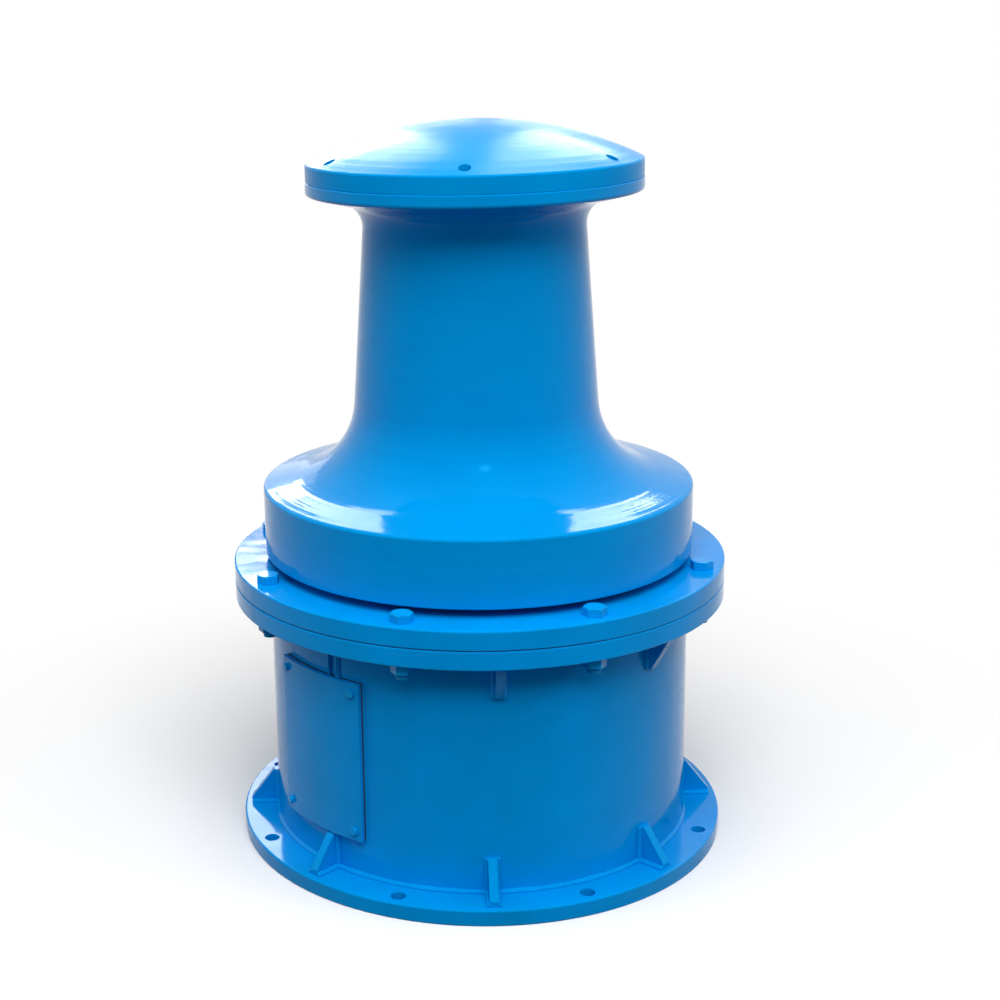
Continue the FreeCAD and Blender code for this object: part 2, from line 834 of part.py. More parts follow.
def make_gear_case_screws():
    seat = f"({DECK_TOP} + case_flange_thick)"
    grip = "(case_flange_thick + 2.5 * case_screw)"
    ring_group(
        "gear_case_screws", "case_screw_count", "bolt_turn",
        lambda angle: socket_screw("case_screw_circle", angle, seat, "case_screw", grip),
    )


def make_case_cover():
    body = new_body("case_cover", "bolt_turn")
    seal_low = f"({CASE_COVER_TOP} - output_seal_thick)"
    revolve(body, [
        ("output_shaft + seal_clearance", CASE_TOP),
        ("upper_bearing_bore + bearing_lip", CASE_TOP),
        ("upper_bearing_bore + bearing_lip", CASE_COVER_TOP),
        ("output_seal_outer", CASE_COVER_TOP),
        ("output_seal_outer", seal_low),
        ("output_shaft + seal_clearance", seal_low),
    ])
    holes(body, "case_cover_screw_circle", "case_cover_screw", CASE_COVER_TOP, "case_cover_thick",
          "case_cover_screw_count")


def make_case_cover_screws():
    grip = "(case_cover_thick + 2.5 * case_cover_screw)"
    ring_group(
        "case_cover_screws", "case_cover_screw_count", "bolt_turn",
        lambda angle: socket_screw(
            "case_cover_screw_circle", angle, CASE_COVER_TOP, "case_cover_screw", grip
        ),
    )


def make_seals():
    input_seal = new_body("input_seal")
    tube(input_seal, "shaft_radius + seal_play", "input_seal_radius",
         f"{INPUT_SEAL_TOP} - input_seal_thick", INPUT_SEAL_TOP)
    output_seal = new_body("output_seal")
    tube(output_seal, "output_shaft + seal_play", "output_seal_outer",
         f"{CASE_COVER_TOP} - output_seal_thick", CASE_COVER_TOP)
    drum_seal = new_body("drum_seal")
    top = f"({LOWER_SEAT} - (retainer_thick - seal_width) / 2)"
    tube(drum_seal, "case_lip + seal_play", "seal_seat", f"{top} - seal_width", top)


def make_input_cover():
    """Closes the gear case below, carries the input seal, and its sleeve holds the ring gear up."""
    body = new_body("input_cover")
    sleeve = "(case_bore - input_sleeve_wall)"
    seal_low = f"({INPUT_SEAL_TOP} - input_seal_thick)"
    revolve(body, [
        ("shaft_radius + seal_clearance", COVER_LOW),
        ("spigot_radius", COVER_LOW),
        ("spigot_radius", COVER_TOP),
        ("case_bore", COVER_TOP),
        ("case_bore", RING_LOW),
        (sleeve, RING_LOW),
        (sleeve, COVER_TOP),
        ("input_hub", COVER_TOP),
        ("input_hub", INPUT_SEAL_TOP),
        ("input_seal_radius", INPUT_SEAL_TOP),
        ("input_seal_radius", seal_low),
        ("shaft_radius + seal_clearance", seal_low),
    ])


# ---- Planetary gears: two stages that share one fixed ring gear -------------------------------
def involute_angle(pressure):
    return math.tan(pressure) - pressure


def toothed_outline(teeth, addendum, dedendum, widened):
    """The outline of a spur gear: involute flanks as arcs through three points, tip and root arcs.

    widened is added to each tooth at the pitch circle: less than nothing gives backlash, and
    the gap of a ring gear is a widened tooth.
    """
    module = value_of("gear_module")
    pressure = math.radians(value_of("pressure_angle"))
    pitch_radius = module * teeth / 2
    base_radius = pitch_radius * math.cos(pressure)
    root_radius = pitch_radius - dedendum * module
    tip_radius = pitch_radius + addendum * module
    half_at_pitch = math.pi / (2 * teeth) + widened / (2 * pitch_radius)

    def flank(radius):
        local = math.acos(min(1, base_radius / radius))
        return half_at_pitch + involute_angle(pressure) - involute_angle(local)

    start_radius = max(root_radius, base_radius)
    radii = (start_radius, (start_radius + tip_radius) / 2, tip_radius)

    def at(radius, angle):
        return Vector(radius * math.cos(angle), radius * math.sin(angle), 0)

    edges = []
    pitch_angle = 2 * math.pi / teeth
    for tooth in range(teeth):
        centre = tooth * pitch_angle
        rise = [at(radius, centre - flank(radius)) for radius in radii]
        fall = [at(radius, centre + flank(radius)) for radius in reversed(radii)]
        root_rise = at(root_radius, centre - flank(start_radius))
        root_fall = at(root_radius, centre + flank(start_radius))
        next_root = at(root_radius, centre + pitch_angle - flank(start_radius))
        if root_radius < base_radius:
            edges.append(Part.makeLine(root_rise, rise[0]))
        edges.append(Part.Arc(*rise).toShape())
        edges.append(Part.Arc(rise[2], at(tip_radius, centre), fall[0]).toShape())
        edges.append(Part.Arc(*fall).toShape())
        if root_radius < base_radius:
            edges.append(Part.makeLine(fall[2], root_fall))
        middle_root = at(root_radius, centre + pitch_angle / 2)
        edges.append(Part.Arc(root_fall, middle_root, next_root).toShape())
    return Part.Wire(edges)


def gear_feature(label, shape, low, turn=0, orbit=0, orbit_turn=0):
    """Keep a toothed solid as a sub-part, turned on its own axis and stood on its orbit."""
    feature = DOC.addObject("Part::Feature", label)
    feature.Shape = shape
    angle = math.radians(orbit_turn)
    base = Vector(orbit * math.cos(angle), orbit * math.sin(angle), value_of(low))
    feature.Placement = FreeCAD.Placement(base, FreeCAD.Rotation(Vector(0, 0, 1), turn))
    finished(feature, label)


def spur_gear(teeth, face, bore):
    outline_wire = toothed_outline(teeth, ADDENDUM, DEDENDUM, -value_of("backlash"))
    blank = Part.Face(outline_wire).extrude(Vector(0, 0, face))
    return blank.cut(Part.makeCylinder(bore, face))


def make_ring_gear():
    sun_teeth = int(value_of("sun_teeth"))
    ring_teeth = sun_teeth + 2 * int(value_of("planet_teeth"))
    gap = toothed_outline(ring_teeth, DEDENDUM, ADDENDUM, value_of("backlash"))
    height = value_of("ring_height")
    blank = Part.makeCylinder(value_of("case_bore"), height)
    # A tooth of the ring, not a gap, points at each planet.
    shape = blank.cut(Part.Face(gap).extrude(Vector(0, 0, height)))
    gear_feature("ring_gear", shape, RING_LOW, turn=180 / ring_teeth)


def make_suns():
    teeth = int(value_of("sun_teeth"))
    face = value_of("first_face - sun_relief")
    gear_feature("input_sun", spur_gear(teeth, face, value_of("stub_radius")), FIRST_LOW)
    neck = value_of("sun_neck")
    plate = value_of(f"{SECOND_LOW} - {FIRST_PLATE_LOW}")
    gear = spur_gear(teeth, value_of("second_face"), value_of("stub_radius"))
    gear.translate(Vector(0, 0, plate))
    journal = Part.makeCylinder(neck, plate)
    shape = gear.fuse(journal.cut(Part.makeCylinder(value_of("stub_radius"), plate)))
    gear_feature("second_sun", shape.removeSplitter(), FIRST_PLATE_LOW)


def make_planets():
    teeth = int(value_of("planet_teeth"))
    count = int(value_of("planet_count"))
    fit = value_of("running_fit")
    for stage, low in (("first", FIRST_LOW), ("second", SECOND_LOW)):
        shape = spur_gear(teeth, value_of(f"{stage}_face") - fit, value_of(f"{stage}_pin") + fit)
        for number in range(count):
            angle = number * 360 / count
            # A gap of each planet faces the sun, where the sun has a tooth.
            gear_feature(
                f"{stage}_planet_{number + 1}", shape, f"{low} + running_fit",
                turn=angle + 180 / teeth, orbit=value_of("orbit"), orbit_turn=angle,
            )


def make_pins(label, pin, low, high):
    """Planet pins, pressed into their carrier plate, with a head that keeps each planet on."""
    group = DOC.addObject("Part::Compound", label)
    pins = []
    count = int(value_of("planet_count"))
    for number in range(count):
        angle = number * 360 / count
        across = f"orbit * cos({angle})"
        along = f"orbit * sin({angle})"
        head_low = f"({low} - pin_head_thick)"
        stem = rod(pin, across, along, head_low, f"{high} - {head_low}")
        head = rod(f"{pin} + pin_head", across, along, head_low, "pin_head_thick")
        pins.append(joined([stem, head]))
    group.Links = pins
    finished(group, label)


def make_first_carrier():
    body = new_body("first_carrier")
    tube(body, "sun_neck", "carrier_radius", FIRST_PLATE_LOW, FIRST_PLATE_TOP)
    holes(body, "orbit", "first_pin", FIRST_PLATE_TOP, "first_plate", "planet_count")
    make_pins("first_planet_pins", "first_pin", FIRST_LOW, FIRST_PLATE_TOP)


def splines(body, low, high, as_metal):
    """Straight splines between the shaft's root and its full radius: teeth, or the slots for them."""
    sketch = new_sketch(body, "XY_Plane", low if as_metal else high)
    inner = "(spline_root - output_spline)"
    outline(sketch, [
        (inner, "-1 * spline_half"),
        ("output_shaft", "-1 * spline_half"),
        ("output_shaft", "spline_half"),
        (inner, "spline_half"),
    ])
    if as_metal:
        return around(body, extrude(body, sketch, f"{high} - {low}"), "spline_count")
    pocket = body.newObject("PartDesign::Pocket", "Slot")
    pocket.Profile = sketch
    pocket.setExpression("Length", bound(f"{high} - {low}"))
    return around(body, pocket, "spline_count")


SPLINE_LOW = f"({WEB_TOP} - disc_boss_drop)"


def make_output_carrier():
    """The second stage's carrier, forged in one with the output shaft that turns the drum."""
    body = new_body("output_carrier")
    revolve(body, [
        ("0", SECOND_PLATE_LOW),
        ("carrier_radius", SECOND_PLATE_LOW),
        ("carrier_radius", SECOND_PLATE_TOP),
        ("output_shaft", SECOND_PLATE_TOP),
        ("output_shaft", SPLINE_LOW),
        ("spline_root", SPLINE_LOW),
        ("spline_root", DISC_TOP),
        ("output_thread", DISC_TOP),
        ("output_thread", f"{DISC_TOP} + output_thread_rise"),
        ("0", f"{DISC_TOP} + output_thread_rise"),
    ])
    holes(body, "orbit", "second_pin", SECOND_PLATE_TOP, "second_plate", "planet_count")
    splines(body, SPLINE_LOW, DISC_TOP, as_metal=True)
    make_pins("second_planet_pins", "second_pin", SECOND_LOW, SECOND_PLATE_TOP)


def make_drive_disc():
    body = new_body("drive_disc")
    revolve(body, [
        ("spline_root", SPLINE_LOW),
        ("disc_boss", SPLINE_LOW),
        ("disc_boss", WEB_TOP),
        ("disc_radius", WEB_TOP),
        ("disc_radius", DISC_TOP),
        ("spline_root", DISC_TOP),
    ])
    holes(body, "disc_screw_circle", "disc_screw", DISC_TOP, "disc_thick", "disc_screw_count")
    splines(body, SPLINE_LOW, DISC_TOP, as_metal=False)
    ring_group(
        "drive_disc_screws", "disc_screw_count", "0",
        lambda angle: socket_screw(
            "disc_screw_circle", angle, DISC_TOP, "disc_screw", "(disc_thick + 3 * disc_screw)"
        ),
    )


def make_output_nut():
    nut = hexagon("output_nut_flats", "0", "0", DISC_TOP, "output_nut_thick", "0")
    finished(less(nut, rod("output_thread", "0", "0", DISC_TOP, "output_nut_thick")), "output_nut")


# ---- Rope drum and what turns with it ---------------------------------------------------------
def make_drum():
    body = new_body("drum")
    web_side = "(upper_bearing_outer - bearing_lip)"
    foot = ("foot_radius", f"{SKIRT_TOP} + foot_rise")
    head = ("head_radius", f"{RIM_LOW} - head_drop")
    revolve(body, [
        ("skirt_bore", SKIRT_LOW),
        ("skirt_radius", SKIRT_LOW),
        ("skirt_radius", SKIRT_TOP),
        foot,
        head,
        ("rim_radius", RIM_LOW),
        ("rim_radius", RIM_TOP),
        ("disc_radius", RIM_TOP),
        ("disc_radius", WEB_TOP),
        ("web_bore", WEB_TOP),
        ("web_bore", WEB_LOW),
        (web_side, WEB_LOW),
        (web_side, CASE_TOP),
        ("upper_bearing_outer", CASE_TOP),
        ("upper_bearing_outer", UPPER_SEAT),
        ("drum_clearance_bore", UPPER_SEAT),
        ("drum_clearance_bore", LOWER_SEAT_TOP),
        ("lower_bearing_outer", LOWER_SEAT_TOP),
        ("lower_bearing_outer", LOWER_SEAT),
        ("hub_radius", LOWER_SEAT),
        ("skirt_bore", f"{SKIRT_TOP} - shoulder_drop"),
    ])
    # Each sweep keeps to the step that it runs out on.
    fillet(body, [foot], "min(foot_fillet; 0.92 * (skirt_radius - foot_radius))")
    fillet(body, [head], "min(head_fillet; 0.5 * (rim_radius - head_radius))")
    fillet(body, [("skirt_radius", SKIRT_TOP)], "skirt_edge")
    fillet(body, [("skirt_radius", SKIRT_LOW), ("rim_radius", RIM_TOP)], "edge_break")
    fillet(body, [("rim_radius", RIM_LOW)], "rim_edge")
    sketch = new_sketch(body, "XZ_Plane")
    outline(sketch, [
        ("skirt_bore", f"{SKIRT_TOP} - shoulder_drop - drum_rib_drop"),
        ("skirt_bore", f"{SKIRT_TOP} - shoulder_drop"),
        ("hub_radius", LOWER_SEAT),
        ("skirt_bore - drum_rib_reach", f"{SKIRT_TOP} - shoulder_drop"),
    ])
    web = extrude(body, sketch, "drum_rib_thick", both_ways=True)
    around(body, web, "drum_rib_count")
    web_grip = "(3 * disc_screw)"
    holes(body, "disc_screw_circle", "disc_screw", WEB_TOP, web_grip, "disc_screw_count")
    holes(body, "cap_screw_circle", "cap_screw", RIM_TOP, "cap_screw_grip", "cap_screw_count",
          "cap_screw_turn")
    holes(body, "retainer_screw_circle", "retainer_screw", f"{LOWER_SEAT} + 3 * retainer_screw",
          "3 * retainer_screw", "retainer_screw_count")


def make_drum_cap():
    body = new_body("drum_cap")
    apex = f"({CAP_EDGE_TOP} + cap_dome_rise)"
    dome = "((cap_radius * cap_radius + cap_dome_rise * cap_dome_rise) / (2 * cap_dome_rise))"
    centre = f"({apex} - {dome})"
    inner_dome = f"({dome} - cap_wall)"
    dish_edge = f"({centre} + sqrt({inner_dome} * {inner_dome} - cap_dish * cap_dish))"
    ring_top = f"({RIM_TOP} + cap_ring_thick)"
    revolve(body, [
        ("cap_hollow", f"{RIM_TOP} - cap_spigot"),
        ("disc_radius", f"{RIM_TOP} - cap_spigot"),
        ("disc_radius", RIM_TOP),
        ("cap_radius", RIM_TOP),
        ("cap_radius", CAP_EDGE_TOP),
        ("0", apex),
        ("0", f"{apex} - cap_wall"),
        ("cap_dish", dish_edge),
        ("cap_dish", ring_top),
        ("cap_hollow", ring_top),
    ], arcs={4: (dome, centre), 6: (inner_dome, centre)})
    fillet(body, [("cap_radius", CAP_EDGE_TOP)], "cap_edge_round")
    fillet(body, [("cap_radius", RIM_TOP)], "edge_break")
    seat = f"({CAP_EDGE_TOP} - cap_screw_sink)"
    holes(body, "cap_screw_circle", "1.5 * cap_screw + socket_play", apex, f"{apex} - {seat}",
          "cap_screw_count", "cap_screw_turn")
    holes(body, "cap_screw_circle", "cap_screw + socket_play", seat, f"{seat} - {RIM_TOP}",
          "cap_screw_count", "cap_screw_turn")
    ring_group(
        "cap_screws", "cap_screw_count", "cap_screw_turn",
        lambda angle: socket_screw(
            "cap_screw_circle", angle, seat, "cap_screw", f"({seat} - {RIM_TOP} + cap_screw_grip)"
        ),
    )


def make_drum_bearings():
    """Sealed ball bearings: pressed in the drum, running on the gear case."""
    for label, low, wide, name in (
        ("lower_drum_bearing", LOWER_SEAT, "lower_bearing_wide", "lower_bearing"),
        ("upper_drum_bearing", UPPER_SEAT, "upper_bearing_wide", "upper_bearing"),
    ):
        body = new_body(label)
        top = f"({low} + {wide})"
        face = f"({low} + running_fit)"
        inner_land = f"{name}_bore + bearing_lip"
        outer_land = f"{name}_outer - bearing_lip"
        recess = "(2 * running_fit + bearing_recess)"
        revolve(body, [
            (f"{name}_bore", face),
            (inner_land, face),
            (inner_land, f"{face} + {recess}"),
            (outer_land, f"{face} + {recess}"),
            (outer_land, face),
            (f"{name}_outer", face),
            (f"{name}_outer", f"{top} - running_fit"),
            (outer_land, f"{top} - running_fit"),
            (outer_land, f"{top} - {recess}"),
            (inner_land, f"{top} - {recess}"),
            (inner_land, f"{top} - running_fit"),
            (f"{name}_bore", f"{top} - running_fit"),
        ])


def make_bearing_retainer():
    body = new_body("bearing_retainer")
    low = f"({LOWER_SEAT} - retainer_thick)"
    tube(body, "seal_seat", "hub_radius - retainer_edge", low, LOWER_SEAT)
    holes(body, "retainer_screw_circle", "retainer_screw", LOWER_SEAT, "retainer_thick",
          "retainer_screw_count")
    grip = "(retainer_thick + 2.5 * retainer_screw)"
    ring_group(
        "retainer_screws", "retainer_screw_count", "0",
        lambda angle: socket_screw(
            "retainer_screw_circle", angle, low, "retainer_screw", grip, head_up=False
        ),
    )


# ---- Motor, hung under the deck plate ---------------------------------------------------------
MOTOR_FLANGE_LOW = f"({DECK_LOW} - motor_flange_thick)"
FRAME_TOP = f"({MOTOR_FLANGE_LOW} - front_hub_drop)"
FRAME_LOW = f"({FRAME_TOP} - motor_height)"
REAR_LOW = f"({FRAME_LOW} - rear_shield_thick)"
REAR_SEAT = f"({FRAME_LOW} - rear_bearing_wide)"
CORE_LOW = f"({FRAME_LOW} + (motor_height - core_height) / 2)"
CORE_TOP = f"({CORE_LOW} + core_height)"
BOX_BACK = "(motor_radius + box_pad)"
BOX_LOW = f"({FRAME_LOW} + box_rise)"


def block(body, start, length, wide, low, tall):
    """A block on the body's +X side: from start outwards, centred across, rising from low."""
    sketch = new_sketch(body, "XY_Plane", low)
    outline(sketch, [
        (start, f"-1 * {wide} / 2"),
        (f"{start} + {length}", f"-1 * {wide} / 2"),
        (f"{start} + {length}", f"{wide} / 2"),
        (start, f"{wide} / 2"),
    ])
    return extrude(body, sketch, tall)


def make_motor_frame():
    body = new_body("motor_frame", "door_turn")
    tube(body, "frame_bore", "motor_radius", FRAME_LOW, FRAME_TOP)
    root = "(motor_radius - motor_wall / 2)"
    fin = block(body, root, "motor_wall / 2 + motor_fin_reach", "motor_fin_thick", FRAME_LOW,
                "motor_height")
    around(body, fin, "motor_fin_count")
    block(body, root, "motor_wall / 2 + box_pad", "box_wide", BOX_LOW, "box_tall")


def make_motor_shields():
    front = new_body("motor_front_shield", "motor_turn")
    seat_top = f"({FRAME_TOP} + front_bearing_wide)"
    spigot_top = f"({DECK_LOW} + motor_spigot)"
    revolve(front, [
        ("front_bearing_radius", FRAME_TOP),
        ("motor_radius", FRAME_TOP),
        ("motor_radius", MOTOR_FLANGE_LOW),
        ("motor_flange_radius", MOTOR_FLANGE_LOW),
        ("motor_flange_radius", DECK_LOW),
        ("spigot_radius", DECK_LOW),
        ("spigot_radius", spigot_top),
        ("shaft_radius + seal_clearance", spigot_top),
        ("shaft_radius + seal_clearance", seat_top),
        ("front_bearing_radius", seat_top),
    ])
    holes(front, "motor_screw_circle", "motor_screw", DECK_LOW, "motor_flange_thick",
          "motor_screw_count")
    rear = new_body("motor_rear_shield")
    revolve(rear, [
        ("tail_radius + seal_clearance", REAR_LOW),
        ("motor_radius", REAR_LOW),
        ("motor_radius", FRAME_LOW),
        ("rear_bearing_radius", FRAME_LOW),
        ("rear_bearing_radius", REAR_SEAT),
        ("tail_radius + seal_clearance", REAR_SEAT),
    ])
    for label, low, radius, wide in (
        ("front_motor_bearing", FRAME_TOP, "front_bearing_radius", "front_bearing_wide"),
        ("rear_motor_bearing", REAR_SEAT, "rear_bearing_radius", "rear_bearing_wide"),
    ):
        bearing = new_body(label)
        tube(bearing, "shaft_radius + running_fit", radius, low, f"{low} + {wide}")


def make_motor_bolts():
    def bolt(angle):
        across = f"motor_screw_circle * cos({angle})"
        along = f"motor_screw_circle * sin({angle})"
        head_low = f"({MOTOR_FLANGE_LOW} - motor_screw_head)"
        grip = "(motor_flange_thick + 2.5 * motor_screw)"
        head = hexagon("3 * motor_screw", across, along, head_low, "motor_screw_head", angle)
        return joined([head, rod("motor_screw", across, along, MOTOR_FLANGE_LOW, grip)])

    ring_group("motor_bolts", "motor_screw_count", "motor_turn", bolt)


def make_stator():
    core = new_body("stator_core")
    tube(core, "core_bore", "frame_bore", CORE_LOW, CORE_TOP)
    sketch = new_sketch(core, "XY_Plane", CORE_TOP)
    start = "(core_bore - slot_wide)"
    outline(sketch, [
        (start, "-1 * slot_wide / 2"),
        ("core_bore + slot_deep", "-1 * slot_wide / 2"),
        ("core_bore + slot_deep", "slot_wide / 2"),
        (start, "slot_wide / 2"),
    ])
    slot = core.newObject("PartDesign::Pocket", "Slot")
    slot.Profile = sketch
    slot.setExpression("Length", bound("core_height"))
    around(core, slot, "slot_count")
    windings = new_body("stator_windings")
    inner = "(core_bore + winding_step)"
    outer = f"({inner} + winding_wall)"
    tube(windings, inner, outer, CORE_TOP, f"{CORE_TOP} + winding_rise")
    tube(windings, inner, outer, f"{CORE_LOW} - winding_rise", CORE_LOW)
    bar = block(windings, f"{inner} + 1", "slot_deep - winding_step - 1", "slot_wide", CORE_LOW,
                "core_height")
    around(windings, bar, "slot_count")


def make_rotor():
    shaft = new_body("rotor_shaft")
    sun_top = f"({FIRST_LOW} + first_face - sun_relief)"
    shoulder = f"({INPUT_SEAL_TOP} + shaft_shoulder_rise)"
    tail = f"({REAR_LOW} - tail_drop)"
    revolve(shaft, [
        ("0", tail),
        ("tail_radius", tail),
        ("tail_radius", REAR_SEAT),
        ("shaft_radius", REAR_SEAT),
        ("shaft_radius", shoulder),
        ("stub_radius", shoulder),
        ("stub_radius", sun_top),
        ("0", sun_top),
    ])
    core = new_body("rotor_core")
    outer = "(core_bore - core_gap)"
    ring_outer = f"({outer} - cage_step)"
    ring_inner = f"({outer} - winding_wall)"
    top = f"({CORE_TOP} + cage_rise)"
    low = f"({CORE_LOW} - cage_rise)"
    revolve(core, [
        ("shaft_radius", CORE_LOW),
        (ring_inner, CORE_LOW),
        (ring_inner, low),
        (ring_outer, low),
        (ring_outer, CORE_LOW),
        (outer, CORE_LOW),
        (outer, CORE_TOP),
        (ring_outer, CORE_TOP),
        (ring_outer, top),
        (ring_inner, top),
        (ring_inner, CORE_TOP),
        ("shaft_radius", CORE_TOP),
    ])


# ---- Spring brake on the motor's tail: sprung shut, pulled open by its magnet -------------------
BRAKE_DISC_TOP = f"({REAR_LOW} - brake_play)"
BRAKE_DISC_LOW = f"({BRAKE_DISC_TOP} - brake_disc_thick)"
ARMATURE_TOP = f"({BRAKE_DISC_LOW} - brake_play)"
ARMATURE_LOW = f"({ARMATURE_TOP} - armature_thick)"
MAGNET_TOP = f"({ARMATURE_LOW} - brake_stroke - brake_play)"
MAGNET_LOW = f"({MAGNET_TOP} - magnet_thick)"


def make_brake():
    disc = new_body("brake_disc")
    tube(disc, "tail_radius", "brake_disc_radius", BRAKE_DISC_LOW, BRAKE_DISC_TOP)
    armature = new_body("brake_armature")
    shaft_hole = "(tail_radius + seal_clearance)"
    tube(armature, shaft_hole, "magnet_radius", ARMATURE_LOW, ARMATURE_TOP)
    holes(armature, "pillar_circle", "pillar_radius + pillar_play / 2", ARMATURE_TOP,
          "armature_thick", "pillar_count")
    magnet = new_body("brake_magnet")
    tube(magnet, shaft_hole, "magnet_radius", MAGNET_LOW, MAGNET_TOP)
    sketch = new_sketch(magnet, "XY_Plane", MAGNET_TOP)
    circle(sketch, "pillar_radius", "pillar_circle")
    around(magnet, extrude(magnet, sketch, f"{REAR_LOW} - {MAGNET_TOP}"), "pillar_count")
    cover = new_body("brake_cover")
    inner = "(brake_cover_radius - brake_cover_wall)"
    low = f"({MAGNET_LOW} - 2 * brake_cover_wall)"
    revolve(cover, [
        ("0", low),
        ("brake_cover_radius", low),
        ("brake_cover_radius", REAR_LOW),
        (inner, REAR_LOW),
        (inner, f"{low} + brake_cover_wall"),
        ("0", f"{low} + brake_cover_wall"),
    ])


# ---- Terminal box on the motor, behind the access door ------------------------------------------
def make_terminal_box():
    box = new_body("terminal_box", "door_turn")
    block(box, BOX_BACK, "box_deep", "box_wide", BOX_LOW, "box_tall")
    sketch = new_sketch(box, "YZ_Plane", f"{BOX_BACK} + box_deep")
    half = "(box_wide / 2 - box_wall)"
    low = f"({BOX_LOW} + box_wall)"
    high = f"({BOX_LOW} + box_tall - box_wall)"
    outline(sketch, [(f"-1 * {half}", low), (half, low), (half, high), (f"-1 * {half}", high)])
    hollow = box.newObject("PartDesign::Pocket", "Hollow")
    hollow.Profile = sketch
    hollow.setExpression("Length", bound("box_deep - box_wall"))
    box.Tip = hollow
    lid = new_body("terminal_lid", "door_turn")
    block(lid, f"({BOX_BACK} + box_deep)", "box_lid", "box_wide", BOX_LOW, "box_tall")
    gland = new_body("terminal_gland", "door_turn")
    gland_low = f"({BOX_LOW} - gland_drop)"
    middle = f"({BOX_BACK} + box_deep / 2)"
    for radius, low_end, length in (
        ("gland_tube", gland_low, "gland_drop"),
        ("gland_radius", f"({BOX_LOW} - gland_nut)", "gland_nut"),
    ):
        ring = new_sketch(gland, "XY_Plane", low_end)
        circle(ring, radius, middle)
        circle(ring, "gland_bore", middle)
        extrude(gland, ring, length)


for make in (
    make_base_flange,
    make_housing_shell,
    make_access_cover,
    make_access_gasket,
    make_access_screws,
    make_base_gussets,
    make_flange_gussets,
    make_top_flange,
    make_flange_gasket,
    make_deck_plate,
    make_flange_bolts,
    make_flange_nuts,
    make_gear_case,
    make_gear_case_screws,
    make_case_cover,
    make_case_cover_screws,
    make_seals,
    make_input_cover,
    make_ring_gear,
    make_suns,
    make_planets,
    make_first_carrier,
    make_output_carrier,
    make_drive_disc,
    make_output_nut,
    make_drum,
    make_drum_cap,
    make_drum_bearings,
    make_bearing_retainer,
    make_motor_frame,
    make_motor_shields,
    make_motor_bolts,
    make_stator,
    make_rotor,
    make_brake,
    make_terminal_box,
):
    make()

DOC.recompute()

for item in DOC.Objects:
    if "Invalid" in item.State or "Error" in item.State:
        raise ValueError(f"{item.Name} failed: {item.State}")
    if item.TypeId in ("PartDesign::Pocket", "PartDesign::Groove"):
        if item.Shape.Volume >= item.BaseFeature.Shape.Volume - 0.1:
            raise ValueError(f"{item.Name} cuts nothing")
for label, item in NODES.items():
    if item.Shape.isNull() or not item.Shape.isValid():
        raise ValueError(f"{label} has no valid shape")

os.makedirs("parts", exist_ok=True)
for label, item in NODES.items():
    item.Shape.exportStep(f"parts/{label}.step")
print(len(NODES), "sub-parts written")
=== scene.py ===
import json
import math

import bmesh
import bpy
from mathutils import Matrix, Vector


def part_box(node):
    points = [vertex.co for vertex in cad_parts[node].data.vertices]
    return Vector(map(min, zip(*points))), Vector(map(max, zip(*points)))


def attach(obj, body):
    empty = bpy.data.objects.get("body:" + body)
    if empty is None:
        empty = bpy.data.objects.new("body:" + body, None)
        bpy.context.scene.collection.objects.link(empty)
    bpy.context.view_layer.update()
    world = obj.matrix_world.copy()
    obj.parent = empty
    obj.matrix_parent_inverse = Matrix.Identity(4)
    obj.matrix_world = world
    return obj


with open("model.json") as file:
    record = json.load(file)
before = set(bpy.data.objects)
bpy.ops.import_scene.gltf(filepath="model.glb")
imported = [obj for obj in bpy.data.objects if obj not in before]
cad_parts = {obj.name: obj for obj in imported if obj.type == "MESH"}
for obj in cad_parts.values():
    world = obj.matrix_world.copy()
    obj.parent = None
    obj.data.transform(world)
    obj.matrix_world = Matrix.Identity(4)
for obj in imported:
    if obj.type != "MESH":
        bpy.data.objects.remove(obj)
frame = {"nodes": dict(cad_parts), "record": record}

bl_info = {
    "name": "Deck Capstan Finish",
    "version": (1, 0, 0),
    "blender": (4, 5, 0),
    "location": "View3D > Sidebar > Capstan",
    "description": "Paints, welds and threads a deck capstan around its CAD frame",
    "category": "Object",
}

MM = 0.001
WHITE = (1.0, 1.0, 1.0)
WHOLE_TURN = 2 * math.pi

FLANGE_BOLTS = 8
# The first degrees of each bolt's sector hold no nut.
EMPTY_SECTOR_START = 5

# Facets: across a weld's face, round and down a thread, and round the floor.
WELD_STEPS = 6
THREAD_AROUND, THREAD_DOWN = 36, 30
FLOOR_SEGMENTS = 96
STATIONS_PER_RIPPLE = 4
# How a weld's size wanders along its run: share of the size, length in metres, phase.
WELD_WANDER = ((0.06, 0.017, 0.0), (0.04, 0.0071, 1.3))
# The thread's sleeve: play round the tail, depth into it, and the run-out in pitches.
THREAD_PLAY, THREAD_SINK = 0.02 * MM, 0.1 * MM
THREAD_RUN_OUT = 0.4

LAMP_TARGET = Vector((0, 0, 0.5))
SENSOR_WIDTH = 36


def linear(hex_colour):
    """An sRGB hex colour as linear red, green and blue."""
    channels = [int(hex_colour[i:i + 2], 16) / 255 for i in (1, 3, 5)]
    return tuple(c / 12.92 if c <= 0.04045 else ((c + 0.055) / 1.055) ** 2.4 for c in channels)


def per_metre(millimetres):
    """The texture scale at which one feature is this many millimetres wide."""
    return 1000.0 / millimetres


# ---------------------------------------------------------------- sizes and colours


